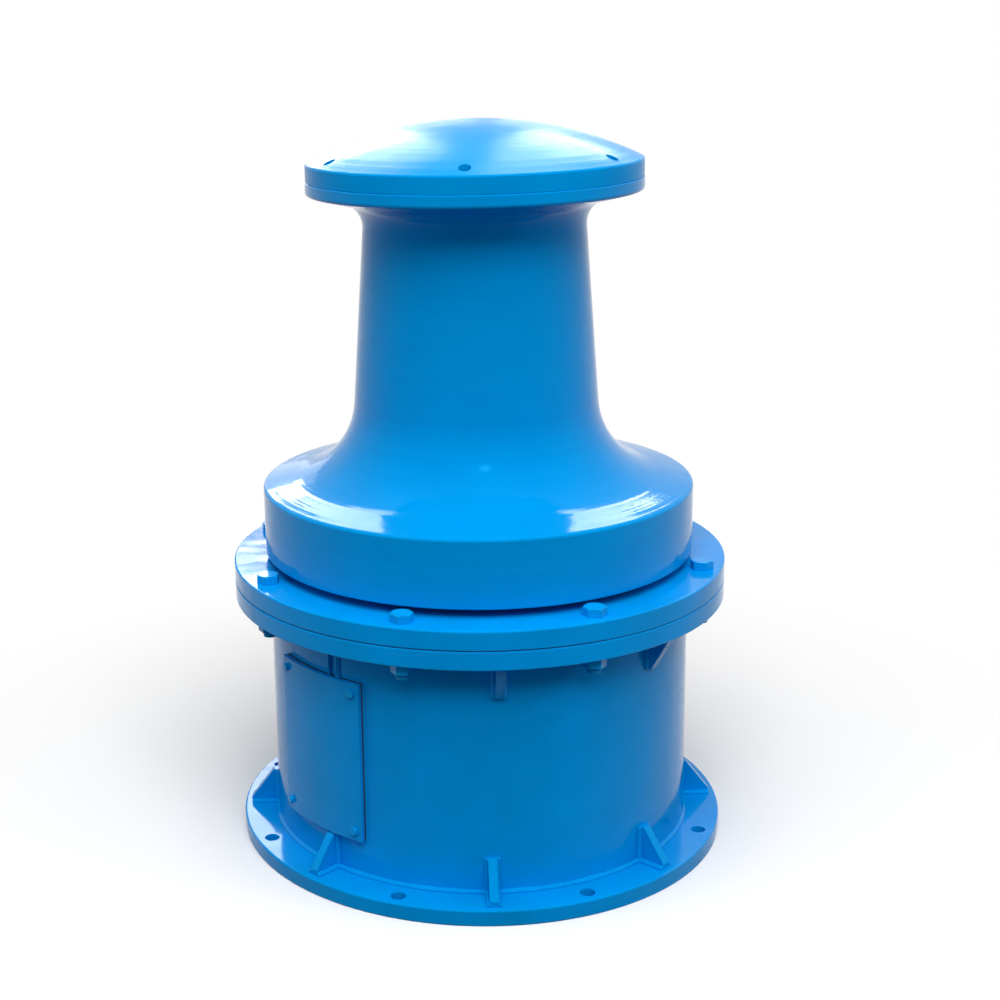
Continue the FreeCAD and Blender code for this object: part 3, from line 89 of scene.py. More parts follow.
class CapstanColours(bpy.types.PropertyGroup):
    hull: bpy.props.FloatVectorProperty(
        name="Hull paint", description="Top coat over the drum and its cap",
        subtype="COLOR", size=3, min=0, max=1, default=linear("#0096e1"))
    hull_shade: bpy.props.FloatVectorProperty(
        name="Hull paint, thick", description="The same paint where it lies thicker",
        subtype="COLOR", size=3, min=0, max=1, default=linear("#0091dc"))
    # The hull's enamel again, made a touch brighter: painted light, so that the housing's faces
    # come out as bright as the drum's.
    housing: bpy.props.FloatVectorProperty(
        name="Housing paint", description="Top coat over the rolled steel, a touch brighter",
        subtype="COLOR", size=3, min=0, max=1, default=linear("#0098ea"))
    fastener: bpy.props.FloatVectorProperty(
        name="Painted fastener", description="Top coat over bolts, nuts and screws",
        subtype="COLOR", size=3, min=0, max=1, default=linear("#029de6"))
    rubber: bpy.props.FloatVectorProperty(
        name="Nitrile rubber", description="Gaskets and lip seals",
        subtype="COLOR", size=3, min=0, max=1, default=linear("#121417"))
    iron: bpy.props.FloatVectorProperty(
        name="Cast iron", description="Bare machined iron inside",
        subtype="COLOR", size=3, min=0, max=1, default=linear("#6e6c68"))
    steel: bpy.props.FloatVectorProperty(
        name="Gear steel", description="Ground and oiled gear steel",
        subtype="COLOR", size=3, min=0, max=1, default=linear("#a9a6a0"))
    black_oxide: bpy.props.FloatVectorProperty(
        name="Black oxide", description="Blackened socket screws",
        subtype="COLOR", size=3, min=0, max=1, default=linear("#2c2c2e"))
    motor: bpy.props.FloatVectorProperty(
        name="Motor enamel", description="Stoved enamel on the motor",
        subtype="COLOR", size=3, min=0, max=1, default=linear("#5d6770"))
    copper: bpy.props.FloatVectorProperty(
        name="Enamelled copper", description="Stator winding wire",
        subtype="COLOR", size=3, min=0, max=1, default=linear("#a8562a"))
    friction: bpy.props.FloatVectorProperty(
        name="Friction lining", description="Moulded brake lining",
        subtype="COLOR", size=3, min=0, max=1, default=linear("#4a4038"))
    floor: bpy.props.FloatVectorProperty(
        name="Floor", description="Plain pale studio floor",
        subtype="COLOR", size=3, min=0, max=1, default=linear("#fafafa"))
    floor_bounce: bpy.props.FloatVectorProperty(
        name="Floor, bounced", description="The floor as a source of bounced light",
        subtype="COLOR", size=3, min=0, max=1, default=linear("#545454"))
    tint: bpy.props.FloatVectorProperty(
        name="Paint shine", description="Tint of the shine on the marine enamel",
        subtype="COLOR", size=3, min=0, max=1, default=linear("#2090e0"))


class StageSizes(bpy.types.PropertyGroup):
    floor_radius: bpy.props.FloatProperty(
        name="Floor radius", description="How far the studio floor reaches",
        unit="LENGTH", default=40.0, min=2.0)
    pool_radius: bpy.props.FloatProperty(
        name="Shadow pool", description="Where the floor starts to fade to white",
        unit="LENGTH", default=0.52, min=0.1)
    fade: bpy.props.FloatProperty(
        name="Fade", description="How far the floor takes to fade to white",
        unit="LENGTH", default=0.62, min=0.1)
    sky: bpy.props.FloatProperty(
        name="Sky", description="Strength of the even light from all round",
        default=0.24, min=0.0)
    camera_distance: bpy.props.FloatProperty(
        name="Camera distance", description="From the capstan's axis to the camera, level",
        unit="LENGTH", default=2.3799, min=0.5)
    camera_height: bpy.props.FloatProperty(
        name="Camera height", description="From the floor to the camera",
        unit="LENGTH", default=1.1471, min=0.1)
    camera_turn: bpy.props.FloatProperty(
        name="Camera turn", description="How far the camera turns aside from the axis",
        subtype="ANGLE", default=math.radians(-4.223))
    camera_dip: bpy.props.FloatProperty(
        name="Camera dip", description="How far the camera looks down",
        subtype="ANGLE", default=math.radians(14.865))
    camera_roll: bpy.props.FloatProperty(
        name="Camera roll", description="How far the camera leans",
        subtype="ANGLE", default=math.radians(-1.624))
    lens: bpy.props.FloatProperty(
        name="Lens", description="Focal length for a 36 mm sensor, in millimetres",
        default=63.79, min=10)
    shift_x: bpy.props.FloatProperty(
        name="Shift across", description="Sideways lens shift", default=0.15)
    shift_y: bpy.props.FloatProperty(
        name="Shift up", description="Upward lens shift", default=-0.03)


class WeldSizes(bpy.types.PropertyGroup):
    leg: bpy.props.FloatProperty(
        name="Weld leg", description="How far a fillet weld reaches up each of its two plates",
        unit="LENGTH", default=5 * MM, min=1 * MM)
    swell: bpy.props.FloatProperty(
        name="Weld swell", description="How far the weld's face stands proud of a flat fillet",
        unit="LENGTH", default=0.7 * MM, min=0)
    ripple: bpy.props.FloatProperty(
        name="Weld ripple", description="Height of the ripples that the paint leaves showing",
        unit="LENGTH", default=0.35 * MM, min=0)
    ripple_pitch: bpy.props.FloatProperty(
        name="Ripple pitch", description="From one weld ripple to the next",
        unit="LENGTH", default=5 * MM, min=1 * MM)
    rib_thick: bpy.props.FloatProperty(
        name="Rib thickness", description="Plate thickness of the stiffening ribs",
        unit="LENGTH", default=12 * MM, min=1 * MM)
    base_rib_turn: bpy.props.FloatProperty(
        name="Base rib turn", description="Angle of the first rib on the base flange",
        subtype="ANGLE", default=math.radians(3.1))
    top_rib_turn: bpy.props.FloatProperty(
        name="Top rib turn", description="Angle of the first rib under the top flange",
        subtype="ANGLE", default=math.radians(5.0))
    base_rib_reach: bpy.props.FloatProperty(
        name="Base rib reach", description="How far a base rib stands out from the shell",
        unit="LENGTH", default=40 * MM, min=0)
    base_rib_rise: bpy.props.FloatProperty(
        name="Base rib rise", description="How high a base rib climbs the shell",
        unit="LENGTH", default=50 * MM, min=0)
    top_rib_reach: bpy.props.FloatProperty(
        name="Top rib reach", description="How far a top rib stands out from the shell",
        unit="LENGTH", default=34 * MM, min=0)
    top_rib_drop: bpy.props.FloatProperty(
        name="Top rib drop", description="How far down the shell a top rib runs",
        unit="LENGTH", default=54 * MM, min=0)
    ribs: bpy.props.IntProperty(
        name="Ribs", description="Ribs in one ring", default=8, min=1)


class ThreadSizes(bpy.types.PropertyGroup):
    radius: bpy.props.FloatProperty(
        name="Thread radius", description="Radius of the bolt tail under its thread",
        unit="LENGTH", default=9 * MM, min=1 * MM)
    depth: bpy.props.FloatProperty(
        name="Thread crest", description="How far the painted crest stands out of the tail",
        unit="LENGTH", default=0.45 * MM, min=0)
    pitch: bpy.props.FloatProperty(
        name="Thread pitch", description="Coarse pitch of an M18 bolt",
        unit="LENGTH", default=2.5 * MM, min=0.5 * MM)
    length: bpy.props.FloatProperty(
        name="Tail length", description="How much thread stands out of the nut",
        unit="LENGTH", default=7.4 * MM, min=1 * MM)


# ---------------------------------------------------------------- nodes and materials


def new_material(name):
    """An empty node material and its tree."""
    material = bpy.data.materials.new(name)
    material.use_nodes = True
    material.node_tree.nodes.clear()
    return material, material.node_tree


def add_node(tree, kind, inputs=None, **settings):
    """A node with its settings; an input takes a plain value, or another node's output to link."""
    node = tree.nodes.new(kind)
    for name, value in settings.items():
        setattr(node, name, value)
    for key, value in (inputs or {}).items():
        if isinstance(value, bpy.types.NodeSocket):
            tree.links.new(value, node.inputs[key])
        else:
            node.inputs[key].default_value = value
    return node


def rgba(colour):
    """A colour as a socket takes it, opaque."""
    return (*colour, 1.0)


def scaled(colour, share):
    """The same colour, lighter or darker by one factor."""
    return tuple(min(1.0, share * channel) for channel in colour)


def object_place(tree):
    """The point on the piece, in its own metres."""
    return add_node(tree, "ShaderNodeTexCoord").outputs["Object"]


def blend(tree, factor, first, second):
    """One colour turning into another as factor goes from nought to one."""
    return add_node(tree, "ShaderNodeMix",
                    {"Factor": factor, "A": rgba(first), "B": rgba(second)},
                    data_type="RGBA").outputs["Result"]


def finish_surface(tree, shader):
    """Send a shader to the material's surface."""
    add_node(tree, "ShaderNodeOutputMaterial", {"Surface": shader.outputs[0]})


def principled(tree, **inputs):
    """A Principled surface; each input is named with underscores for spaces."""
    named = {key.replace("_", " "): value for key, value in inputs.items()}
    finish_surface(tree, add_node(tree, "ShaderNodeBsdfPrincipled", named))


def mottle(tree, place, millimetres, low=0.0, high=1.0, detail=3.0):
    """Soft noise of one feature size, mapped to run from low to high."""
    noise = add_node(tree, "ShaderNodeTexNoise",
                     {"Vector": place, "Scale": per_metre(millimetres), "Detail": detail})
    spread = add_node(tree, "ShaderNodeMapRange",
                      {"Value": noise.outputs["Fac"], "From Min": 0.3, "From Max": 0.7,
                       "To Min": low, "To Max": high})
    return spread.outputs["Result"]


def bump(tree, height, depth_mm, under=None):
    """Relief this many millimetres deep, over any relief already under it."""
    inputs = {"Height": height, "Distance": depth_mm * MM, "Strength": 1.0}
    if under is not None:
        inputs["Normal"] = under
    return add_node(tree, "ShaderNodeBump", inputs).outputs["Normal"]


def profile_place(tree, place):
    """Radius and height of a point, so that a pattern on them runs round as turning marks do."""
    split = add_node(tree, "ShaderNodeSeparateXYZ", {"Vector": place})
    flat = add_node(tree, "ShaderNodeCombineXYZ",
                    {"X": split.outputs["X"], "Y": split.outputs["Y"]})
    radius = add_node(tree, "ShaderNodeVectorMath", {0: flat.outputs["Vector"]},
                      operation="LENGTH")
    return add_node(tree, "ShaderNodeCombineXYZ",
                    {"X": radius.outputs["Value"], "Z": split.outputs["Z"]}).outputs["Vector"]


# Marine enamel: the width of its patches of tone and of haze in millimetres, how far the haze
# rises, and the rays that round its corners.
TONE_PATCH, HAZE_PATCH = 90, 25
HAZE_RISE = 0.05
CORNER_SAMPLES = 6
# Relief in marine enamel: feature width and depth in millimetres, and the noise's detail.
FILM_WAVER = (70, 0.5, 1.0)
ORANGE_PEEL = (4, 0.008, 1.0)
# Under the paint on turned iron: two sets of tool rings.
TOOL_RINGS = ((11, 0.18, 2.0), (3, 0.012, 1.0))
# Small hollows of the casting that show there too.
CAST_GRAIN = (10, 0.03, 1.0)


def relief(tree, place, layer, under):
    """One layer of soft bumps, given as its width, depth and detail."""
    width, depth, detail = layer
    return bump(tree, mottle(tree, place, width, detail=detail), depth, under)


def marine_enamel(name, colours, coat, turned=False, round_mm=0, haze=0.08, gloss=0.12):
    """Glossy two-pack marine enamel, sprayed: a deep even blue with a wet shine.

    The eye sees a film that wavers slightly over hand widths, a fine orange peel of a few
    millimetres, corners that the thick coats have rounded, and, over turned iron, the rings
    where the tool passed under the paint.
    """
    thin, thick = coat
    material, tree = new_material(name)
    place = object_place(tree)
    paint = blend(tree, mottle(tree, place, TONE_PATCH), thin, thick)
    normal = None
    if round_mm:
        normal = add_node(tree, "ShaderNodeBevel", {"Radius": round_mm * MM},
                          samples=CORNER_SAMPLES).outputs["Normal"]
    normal = relief(tree, place, FILM_WAVER, normal)
    if turned:
        rings = profile_place(tree, place)
        for layer in TOOL_RINGS:
            normal = relief(tree, rings, layer, normal)
        normal = relief(tree, place, CAST_GRAIN, normal)
    normal = relief(tree, place, ORANGE_PEEL, normal)
    principled(tree, Base_Color=paint, Metallic=0.0,
               Roughness=mottle(tree, place, HAZE_PATCH, haze, haze + HAZE_RISE),
               Specular_IOR_Level=gloss, Specular_Tint=rgba(colours.tint),
               IOR=1.5, Normal=normal)
    return material


# Cut metal: the width of its patches of oil and of shine in millimetres, and how far the
# roughness rises between them.
OIL_PATCH, SHINE_PATCH = 35, 20
SHINE_RISE = 0.14


def cut_metal(name, colour, stain, grain_mm, depth_mm, roughness):
    """Bare machined metal: tool rings, a thin uneven film of oil, and a satin shine.

    The eye sees fine rings that catch the light, and browner, glossier patches where the
    oil has stayed.
    """
    material, tree = new_material(name)
    place = object_place(tree)
    rings = mottle(tree, profile_place(tree, place), grain_mm)
    shine = mottle(tree, place, SHINE_PATCH, roughness, roughness + SHINE_RISE)
    principled(tree, Base_Color=blend(tree, mottle(tree, place, OIL_PATCH), colour, linear(stain)),
               Metallic=1.0, Roughness=shine, Normal=bump(tree, rings, depth_mm))
    return material


def striped(tree, place, pitch_mm, axis="Z"):
    """Even ridges along one axis, one every pitch."""
    # A wave texture of scale 1 repeats every pi / 10 of a unit.
    wave = add_node(tree, "ShaderNodeTexWave",
                    {"Vector": place, "Scale": per_metre(pitch_mm) * math.pi / 10,
                     "Distortion": 0.4, "Detail": 1.0}, bands_direction=axis)
    return wave.outputs["Fac"]


def electrical_steel(name, colour):
    """A stack of punched sheets: a dull grey that shows its layers as fine level lines."""
    material, tree = new_material(name)
    place = object_place(tree)
    layers = striped(tree, place, 1.0)
    principled(tree, Base_Color=blend(tree, layers, scaled(colour, 0.55), colour),
               Metallic=1.0, Roughness=mottle(tree, place, 15, 0.42, 0.58),
               Normal=bump(tree, layers, 0.05))
    return material


def enamelled_wire(name, colour):
    """Varnished winding: rows of reddish wire under a glassy, slightly pooled varnish."""
    material, tree = new_material(name)
    place = object_place(tree)
    rows = striped(tree, profile_place(tree, place), 1.6, "X")
    principled(tree, Base_Color=blend(tree, rows, scaled(colour, 0.35), colour),
               Metallic=0.0, Coat_Weight=0.6, Roughness=mottle(tree, place, 6, 0.25, 0.45),
               Normal=bump(tree, rows, 0.3))
    return material


def stoved_enamel(name, colour):
    """Stoved grey enamel on castings: even and satin, over a faint sand-cast texture."""
    material, tree = new_material(name)
    place = object_place(tree)
    principled(tree,
               Base_Color=blend(tree, mottle(tree, place, 60), colour, scaled(colour, 1.25)),
               Roughness=mottle(tree, place, 18, 0.34, 0.5),
               Normal=bump(tree, mottle(tree, place, 2.5), 0.12))
    return material


def moulded_lining(name, colour):
    """Moulded brake lining: dull brown, flecked with paler fibre and brass swarf."""
    material, tree = new_material(name)
    place = object_place(tree)
    flecks = add_node(tree, "ShaderNodeTexVoronoi", {"Vector": place, "Scale": per_metre(1.8)})
    fleck = add_node(tree, "ShaderNodeMapRange",
                     {"Value": flecks.outputs["Distance"], "From Min": 0.1, "From Max": 0.3,
                      "To Min": 1.0, "To Max": 0.0}).outputs["Result"]
    principled(tree, Base_Color=blend(tree, fleck, colour, linear("#9a8255")),
               Roughness=mottle(tree, place, 5, 0.7, 0.9),
               Normal=bump(tree, mottle(tree, place, 1.2), 0.05))
    return material


def nitrile_rubber(name, colour):
    """Moulded nitrile rubber: near black and dull, with a grey bloom and a fine grain."""
    material, tree = new_material(name)
    place = object_place(tree)
    principled(tree, Base_Color=blend(tree, mottle(tree, place, 18), colour, linear("#24272b")),
               IOR=1.52, Roughness=mottle(tree, place, 8, 0.55, 0.75),
               Normal=bump(tree, mottle(tree, place, 0.8), 0.02))
    return material


def give(material, *nodes):
    """Put one material over the whole of each CAD node."""
    for node in nodes:
        mesh = frame["nodes"][node].data
        mesh.materials.clear()
        mesh.materials.append(material)


def nodes_of(slot):
    """The CAD nodes that the record gives this material slot."""
    return [part["node"] for part in frame["record"]["subparts"] if part["material_slot"] == slot]


# ---------------------------------------------------------------- welds and threads


def weld_section(corner, side_a, side_b, leg, swell):
    """The outline of a fillet weld at one station: its corner, then its face from toe to toe."""
    face = [corner]
    for i in range(WELD_STEPS + 1):
        t = i / WELD_STEPS
        rise = swell * 4 * t * (1 - t) / math.sqrt(2)
        face.append(corner + side_a * (leg * (1 - t) + rise) + side_b * (leg * t + rise))
    return face


def lay_weld(shape, stations, sizes, closed=False):
    """Join a weld's outlines into a skin; each station is a corner and its two plate directions."""
    rings = []
    run = 0.0
    for i, (corner, side_a, side_b) in enumerate(stations):
        if i:
            run += (corner - stations[i - 1][0]).length
        ripple = sizes.ripple * abs(math.sin(math.pi * run / sizes.ripple_pitch))
        wander = 1 + sum(share * math.sin(run / length + phase)
                         for share, length, phase in WELD_WANDER)
        outline = weld_section(corner, side_a, side_b, sizes.leg * wander, sizes.swell + ripple)
        rings.append([shape.verts.new(point) for point in outline])
    pairs = list(zip(rings, rings[1:]))
    if closed:
        pairs.append((rings[-1], rings[0]))
    for a, b in pairs:
        for i in range(len(a)):
            j = (i + 1) % len(a)
            shape.faces.new((a[i], a[j], b[j], b[i]))
    if not closed:
        shape.faces.new(rings[0])
        shape.faces.new(reversed(rings[-1]))


def stations_between(start, end, side_a, side_b, sizes):
    """Stations of a straight weld, close enough together for its ripples."""
    count = max(2, round((end - start).length / (sizes.ripple_pitch / STATIONS_PER_RIPPLE)))
    return [(start.lerp(end, i / count), side_a, side_b) for i in range(count + 1)]


def weld_round(shape, radius, height, up, sizes):
    """A weld round the shell, where it meets a flange."""
    count = round(WHOLE_TURN * radius / (sizes.ripple_pitch / STATIONS_PER_RIPPLE))
    stations = []
    for i in range(count):
        turn = WHOLE_TURN * i / count
        outward = Vector((math.cos(turn), math.sin(turn), 0))
        corner = outward * radius + Vector((0, 0, height))
        stations.append((corner, outward, Vector((0, 0, up))))
    lay_weld(shape, stations, sizes, closed=True)


def weld_rib(shape, turn, radius, height, up, reach, rise, sizes):
    """The welds down both sides of one rib, along the shell and along the flange."""
    outward = Vector((math.cos(turn), math.sin(turn), 0))
    along = Vector((-math.sin(turn), math.cos(turn), 0))
    lift = Vector((0, 0, up))
    half = sizes.rib_thick / 2
    wall = math.sqrt(radius ** 2 - half ** 2)
    for side in (-1, 1):
        foot = outward * wall + along * side * half + Vector((0, 0, height))
        for end, side_a, side_b in ((foot + lift * rise, outward, along * side),
                                    (foot + outward * reach, along * side, lift)):
            lay_weld(shape, stations_between(foot, end, side_a, side_b, sizes), sizes)


def thread_tail(shape, centre, top, sizes):
    """A sleeve of screw thread round one bolt tail, hanging down from top."""
    outer, inner = [], []
    for j in range(THREAD_DOWN + 1):
        drop = sizes.length * j / THREAD_DOWN
        fade = min(1.0, (sizes.length - drop) / (sizes.pitch * THREAD_RUN_OUT))
        level = centre + Vector((0, 0, top - drop))
        row_out, row_in = [], []
        for i in range(THREAD_AROUND):
            turn = WHOLE_TURN * i / THREAD_AROUND
            phase = (drop / sizes.pitch + i / THREAD_AROUND) % 1.0
            crest = sizes.depth * fade * (1 - abs(2 * phase - 1))
            reach = Vector((math.cos(turn), math.sin(turn), 0))
            far, near = sizes.radius + THREAD_PLAY + crest, sizes.radius - THREAD_SINK
            row_out.append(shape.verts.new(level + reach * far))
            row_in.append(shape.verts.new(level + reach * near))
        outer.append(row_out)
        inner.append(row_in)
    for rows, flip in ((outer, False), (inner, True)):
        for upper, lower in zip(rows, rows[1:]):
            skin_between(shape, upper, lower, flip)
    for edge, bore, flip in ((outer[0], inner[0], True), (outer[-1], inner[-1], False)):
        skin_between(shape, edge, bore, flip)


def skin_between(shape, first, second, flip):
    """A ring of faces from one round of points to the next."""
    for i in range(len(first)):
        k = (i + 1) % len(first)
        face = (first[i], second[i], second[k], first[k])
        shape.faces.new(tuple(reversed(face)) if flip else face)


def finish_piece(name, shape, body, material):
    """Turn a built shape into a smooth piece that rides on a CAD body."""
    bmesh.ops.recalc_face_normals(shape, faces=shape.faces)
    mesh = bpy.data.meshes.new(name)
    shape.to_mesh(mesh)
    shape.free()
    mesh.shade_smooth()
    mesh.materials.append(material)
    piece = link(name, mesh)
    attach(piece, body)


def nut_centres():
    """The middle of each flange nut, from the corners of the CAD node, grouped round the ring."""
    sector = 360 // FLANGE_BOLTS
    groups = {}
    for vertex in frame["nodes"]["flange_nuts"].data.vertices:
        turn = math.degrees(math.atan2(vertex.co.y, vertex.co.x)) % 360
        if turn % sector > EMPTY_SECTOR_START:
            groups.setdefault(int(turn // sector), []).append(vertex.co)
    middles = []
    for points in groups.values():
        low = Vector((min(p.x for p in points), min(p.y for p in points), 0))
        high = Vector((max(p.x for p in points), max(p.y for p in points), 0))
        middles.append((low + high) / 2)
    return middles


# ---------------------------------------------------------------- operators


class CAPSTAN_OT_paint_hull(bpy.types.Operator):
    """Spray the drum, cap and housing with marine enamel."""
    bl_idname = "capstan.paint_hull"
    bl_label = "Paint hull pieces"

    def execute(self, context):
        colours = context.scene.capstan_colours
        hull = (colours.hull, colours.hull_shade)
        # The housing and its welds get the brighter copy of the enamel, which is painted light.
        rolled = (colours.housing, colours.hull_shade)
        coats = {
            "drum": marine_enamel("marine_enamel_on_turned_iron", colours, hull,
                                  turned=True, haze=0.06),
            "drum_cap": marine_enamel("marine_enamel_on_turned_cap", colours, hull,
                                      turned=True, haze=0.20, gloss=0.045),
        }
        lit_enamel_over_steel = marine_enamel("marine_enamel_lit_on_rolled_steel", colours, rolled,
                                   round_mm=1.2)
        for node in nodes_of("hull_paint"):
            give(coats.get(node, lit_enamel_over_steel), node)
        return {"FINISHED"}


class CAPSTAN_OT_paint_fasteners(bpy.types.Operator):
    """Give the outside bolts, nuts and screws the same top coat."""
    bl_idname = "capstan.paint_fasteners"
    bl_label = "Paint fasteners"

    def execute(self, context):
        colours = context.scene.capstan_colours
        coat = marine_enamel("marine_enamel_on_fasteners", colours,
                             (colours.fastener, colours.hull), round_mm=1.6, gloss=0.15)
        give(coat, *nodes_of("painted_fastener"))
        return {"FINISHED"}


class CAPSTAN_OT_lay_welds(bpy.types.Operator):
    """Lay the fillet welds that hold the shell, its flanges and its ribs together."""
    bl_idname = "capstan.lay_welds"
    bl_label = "Lay welds"

    def execute(self, context):
        sizes = context.scene.capstan_welds
        coat = bpy.data.materials["marine_enamel_lit_on_rolled_steel"]
        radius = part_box("housing_shell")[1][0]
        base_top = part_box("base_flange")[1][2]
        flange_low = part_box("top_flange")[0][2]
        for name, height, up in (("base_flange_weld", base_top, 1),
                                 ("top_flange_weld", flange_low, -1)):
            shape = bmesh.new()
            weld_round(shape, radius, height, up, sizes)
            finish_piece(name, shape, "housing", coat)
        rings = (("base_rib_welds", sizes.base_rib_turn, base_top, 1,
                  sizes.base_rib_reach, sizes.base_rib_rise),
                 ("top_rib_welds", sizes.top_rib_turn, flange_low, -1,
                  sizes.top_rib_reach, sizes.top_rib_drop))
        for name, first, height, up, reach, rise in rings:
            shape = bmesh.new()
            for i in range(sizes.ribs):
                turn = first + WHOLE_TURN * i / sizes.ribs
                weld_rib(shape, turn, radius, height, up, reach, rise, sizes)
            finish_piece(name, shape, "housing", coat)
        return {"FINISHED"}


class CAPSTAN_OT_cut_threads(bpy.types.Operator):
    """Put the screw thread on the bolt tails that stand out under the nuts."""
    bl_idname = "capstan.cut_threads"
    bl_label = "Cut bolt threads"

    def execute(self, context):
        sizes = context.scene.capstan_threads
        shape = bmesh.new()
        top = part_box("flange_nuts")[0][2]
        centres = nut_centres()
        if len(centres) != FLANGE_BOLTS:
            raise RuntimeError("the flange nuts could not be told apart")
        for centre in centres:
            thread_tail(shape, centre, top, sizes)
        finish_piece("flange_bolt_threads", shape, "housing",
                     bpy.data.materials["marine_enamel_on_fasteners"])
        return {"FINISHED"}


class CAPSTAN_OT_finish_inside(bpy.types.Operator):
    """Give the gaskets, gears, motor and brake their own finishes."""
    bl_idname = "capstan.finish_inside"
    bl_label = "Finish inner pieces"

    def execute(self, context):
        colours = context.scene.capstan_colours
        finishes = {
            "gasket_rubber": nitrile_rubber("nitrile_rubber", colours.rubber),
            "bare_cast_iron": cut_metal("machined_cast_iron", colours.iron, "#5c5349",
                                        grain_mm=3, depth_mm=0.015, roughness=0.42),
            "gear_steel": cut_metal("ground_gear_steel", colours.steel, "#7d715c",
                                    grain_mm=1.2, depth_mm=0.004, roughness=0.24),
            "screw_steel": cut_metal("black_oxide_steel", colours.black_oxide, "#1c1b1a",
                                     grain_mm=1, depth_mm=0.005, roughness=0.36),
            "lamination_steel": electrical_steel("electrical_steel", colours.steel),
            "motor_grey": stoved_enamel("stoved_motor_enamel", colours.motor),
            "copper_winding": enamelled_wire("enamelled_copper", colours.copper),
            "friction_lining": moulded_lining("brake_lining", colours.friction),
        }
        for slot, material in finishes.items():
            give(material, *nodes_of(slot))
        return {"FINISHED"}


class CAPSTAN_OT_build_stage(bpy.types.Operator):
    """Set the pale floor, the soft lamps, the white surround and the camera."""
    bl_idname = "capstan.build_stage"
    bl_label = "Build stage"

    def execute(self, context):
        scene = context.scene
        sizes = scene.capstan_stage
        build_floor(sizes, scene.capstan_colours)
        build_world(scene, sizes)
        for name, spot, size, power, reach in SOFTBOXES:
            add_softbox(name, Vector(spot), size, power, reach)
        add_camera(scene, sizes)
        scene.view_settings.view_transform = "Standard"
        return {"FINISHED"}


# Name, centre in metres, width and height in metres, power in watts, and what it reaches.
SOFTBOXES = (
    ("overhead_softbox", (0.0, -0.9, 4.2), (3.2, 2.4), 92, "matt"),
    ("front_softbox", (0.6, -4.3, 5.0), (5.2, 2.4), 222, "matt"),
    ("left_fill", (-3.2, -0.6, 1.3), (1.6, 1.6), 14, "matt"),
    ("right_fill", (3.2, -0.6, 1.3), (1.6, 1.6), 18, "matt"),
    ("right_skylight", (0.63, 2.6, 3.6), (0.8, 3.7), 105, "gloss"),
    ("left_skylight", (-0.82, 3.3, 2.8), (0.85, 2.6), 76, "gloss"),
    ("left_window", (-1.5, 7.0, 2.1), (3.1, 2.6), 27, "gloss"),
    ("work_lamp", (0.3, -2.1, 2.75), (0.3, 0.3), 14, "gloss"),
    ("right_window", (0.62, 7.0, 2.1), (0.8, 2.6), 7, "gloss"),
)


def link(name, data):
    """A new object in the scene."""
    thing = bpy.data.objects.new(name, data)
    bpy.context.scene.collection.objects.link(thing)
    return thing


def aim(thing, spot, target):
    """Put a thing at a spot and turn its face to a target."""
    thing.location = spot
    thing.rotation_euler = (target - spot).to_track_quat("-Z", "Y").to_euler()


def add_softbox(name, spot, size, power, reach):
    """A soft lamp; matt ones don't show in the paint, and gloss ones only show there."""
    lamp = bpy.data.lights.new(name, "AREA")
    lamp.shape = "RECTANGLE"
    lamp.size, lamp.size_y = size
    lamp.energy = power
    box = link(name, lamp)
    aim(box, spot, LAMP_TARGET)
    box.visible_camera = False
    box.visible_diffuse = reach != "gloss"
    box.visible_glossy = reach != "matt"


def seen_directly(tree):
    """One for what is seen directly or in metal or glass, and nought for soft light."""
    path = add_node(tree, "ShaderNodeLightPath")
    total = add_node(tree, "ShaderNodeMath",
                     {0: path.outputs["Is Camera Ray"], 1: path.outputs["Is Glossy Ray"]},
                     operation="ADD")
    total = add_node(tree, "ShaderNodeMath",
                     {0: total.outputs[0], 1: path.outputs["Is Transmission Ray"]},
                     operation="ADD", use_clamp=True)
    return total.outputs[0]


def build_floor(sizes, colours):
    """A round matt floor that keeps the capstan's shadow and fades to white further out."""
    mesh = bpy.data.meshes.new("studio_floor")
    shape = bmesh.new()
    bmesh.ops.create_circle(shape, cap_ends=True, segments=FLOOR_SEGMENTS,
                            radius=sizes.floor_radius)
    shape.to_mesh(mesh)
    shape.free()
    floor = link("studio_floor", mesh)
    material, tree = new_material("matt_studio_floor")
    reach = add_node(tree, "ShaderNodeVectorMath", {0: object_place(tree)}, operation="LENGTH")
    faded = add_node(tree, "ShaderNodeMapRange",
                     {"Value": reach.outputs["Value"], "From Min": sizes.pool_radius,
                      "From Max": sizes.pool_radius + sizes.fade},
                     interpolation_type="SMOOTHSTEP")
    amount = add_node(tree, "ShaderNodeMath",
                      {0: faded.outputs["Result"], 1: seen_directly(tree)}, operation="MULTIPLY")
    shown = blend(tree, seen_directly(tree), colours.floor_bounce, colours.floor)
    matt = add_node(tree, "ShaderNodeBsdfDiffuse", {"Color": shown})
    white = add_node(tree, "ShaderNodeEmission", {"Color": rgba(WHITE), "Strength": 1.0})
    mixed = add_node(tree, "ShaderNodeMixShader",
                     {0: amount.outputs[0], 1: matt.outputs[0], 2: white.outputs[0]})
    finish_surface(tree, mixed)
    mesh.materials.append(material)


def build_world(scene, sizes):
    """White where it is seen, and an even soft sky for everything else."""
    world = bpy.data.worlds.new("white_surround")
    scene.world = world
    world.use_nodes = True
    tree = world.node_tree
    tree.nodes.clear()
    sky = add_node(tree, "ShaderNodeBackground", {"Color": rgba(WHITE), "Strength": sizes.sky})
    white = add_node(tree, "ShaderNodeBackground", {"Color": rgba(WHITE), "Strength": 1.0})
    mixed = add_node(tree, "ShaderNodeMixShader",
                     {0: seen_directly(tree), 1: sky.outputs[0], 2: white.outputs[0]})
    add_node(tree, "ShaderNodeOutputWorld", {"Surface": mixed.outputs[0]})


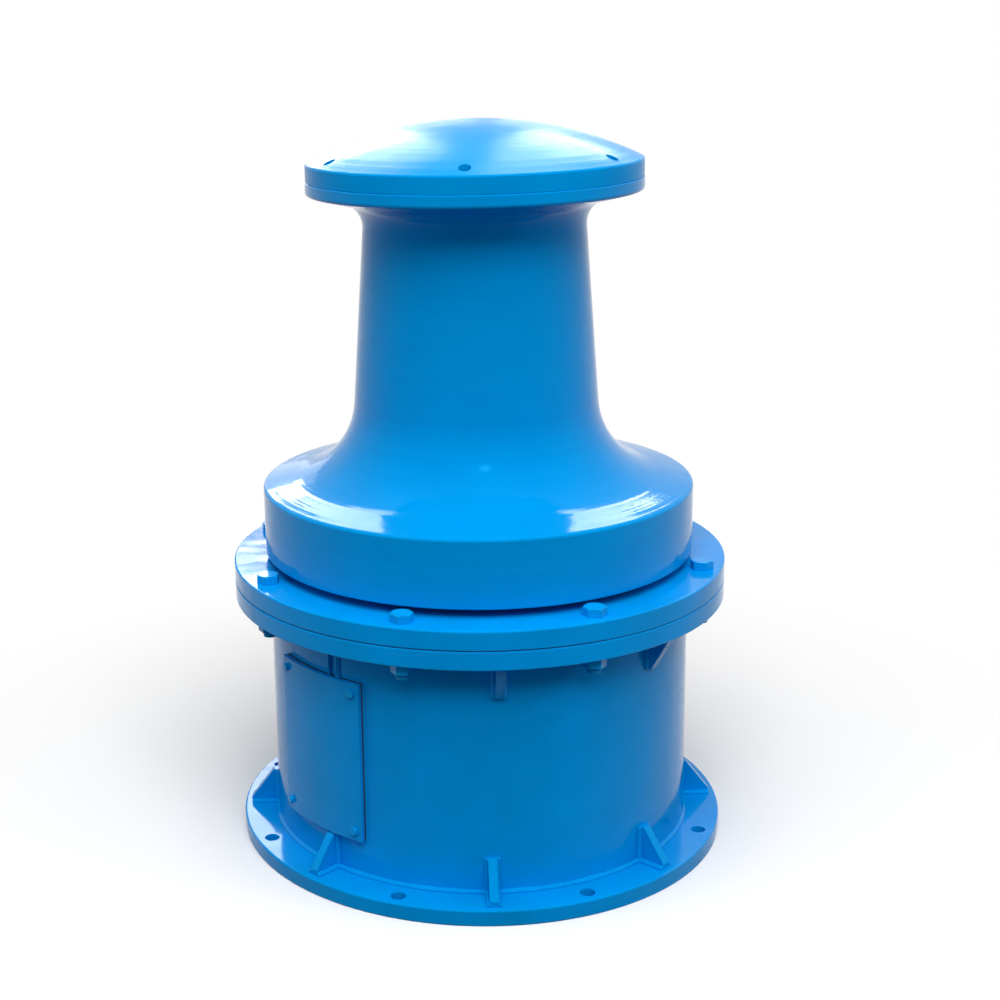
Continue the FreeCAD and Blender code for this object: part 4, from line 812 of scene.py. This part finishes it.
def add_camera(scene, sizes):
    """A camera in front of the capstan and a little above its drum."""
    data = bpy.data.cameras.new("camera")
    data.sensor_width = SENSOR_WIDTH
    data.lens = sizes.lens
    data.shift_x = sizes.shift_x
    data.shift_y = sizes.shift_y
    camera = link("camera", data)
    turn, dip, roll = sizes.camera_turn, sizes.camera_dip, sizes.camera_roll
    ahead = Vector((math.sin(turn) * math.cos(dip), math.cos(turn) * math.cos(dip),
                    -math.sin(dip)))
    level = Vector((math.cos(turn), -math.sin(turn), 0))
    above = level.cross(ahead)
    right = math.cos(roll) * level + math.sin(roll) * above
    top = math.cos(roll) * above - math.sin(roll) * level
    spin = Matrix((right, top, -ahead)).transposed().to_4x4()
    spot = (0, -sizes.camera_distance, sizes.camera_height)
    camera.matrix_world = Matrix.Translation(spot) @ spin
    scene.camera = camera


OPERATORS = (
    CAPSTAN_OT_paint_hull,
    CAPSTAN_OT_paint_fasteners,
    CAPSTAN_OT_lay_welds,
    CAPSTAN_OT_cut_threads,
    CAPSTAN_OT_finish_inside,
    CAPSTAN_OT_build_stage,
)


class CAPSTAN_PT_sidebar(bpy.types.Panel):
    """The capstan's steps, its colours and its stage."""
    bl_idname = "CAPSTAN_PT_sidebar"
    bl_label = "Deck capstan"
    bl_space_type = "VIEW_3D"
    bl_region_type = "UI"
    bl_category = "Capstan"

    def draw(self, context):
        for operator in OPERATORS:
            self.layout.operator(operator.bl_idname)
        scene = context.scene
        for group in (scene.capstan_colours, scene.capstan_welds, scene.capstan_threads,
                      scene.capstan_stage):
            box = self.layout.box()
            for name in group.__annotations__:
                box.prop(group, name)


CLASSES = (CapstanColours, StageSizes, WeldSizes, ThreadSizes, *OPERATORS, CAPSTAN_PT_sidebar)


def register():
    for cls in CLASSES:
        bpy.utils.register_class(cls)
    bpy.types.Scene.capstan_colours = bpy.props.PointerProperty(type=CapstanColours)
    bpy.types.Scene.capstan_stage = bpy.props.PointerProperty(type=StageSizes)
    bpy.types.Scene.capstan_welds = bpy.props.PointerProperty(type=WeldSizes)
    bpy.types.Scene.capstan_threads = bpy.props.PointerProperty(type=ThreadSizes)


def unregister():
    del bpy.types.Scene.capstan_threads
    del bpy.types.Scene.capstan_welds
    del bpy.types.Scene.capstan_stage
    del bpy.types.Scene.capstan_colours
    for cls in reversed(CLASSES):
        bpy.utils.unregister_class(cls)


def main():
    """Run every step."""
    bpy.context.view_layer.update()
    register()
    for operator in OPERATORS:
        group, name = operator.bl_idname.split(".")
        getattr(getattr(bpy.ops, group), name)()
    bpy.context.view_layer.update()


if __name__ == "__main__":
    main()
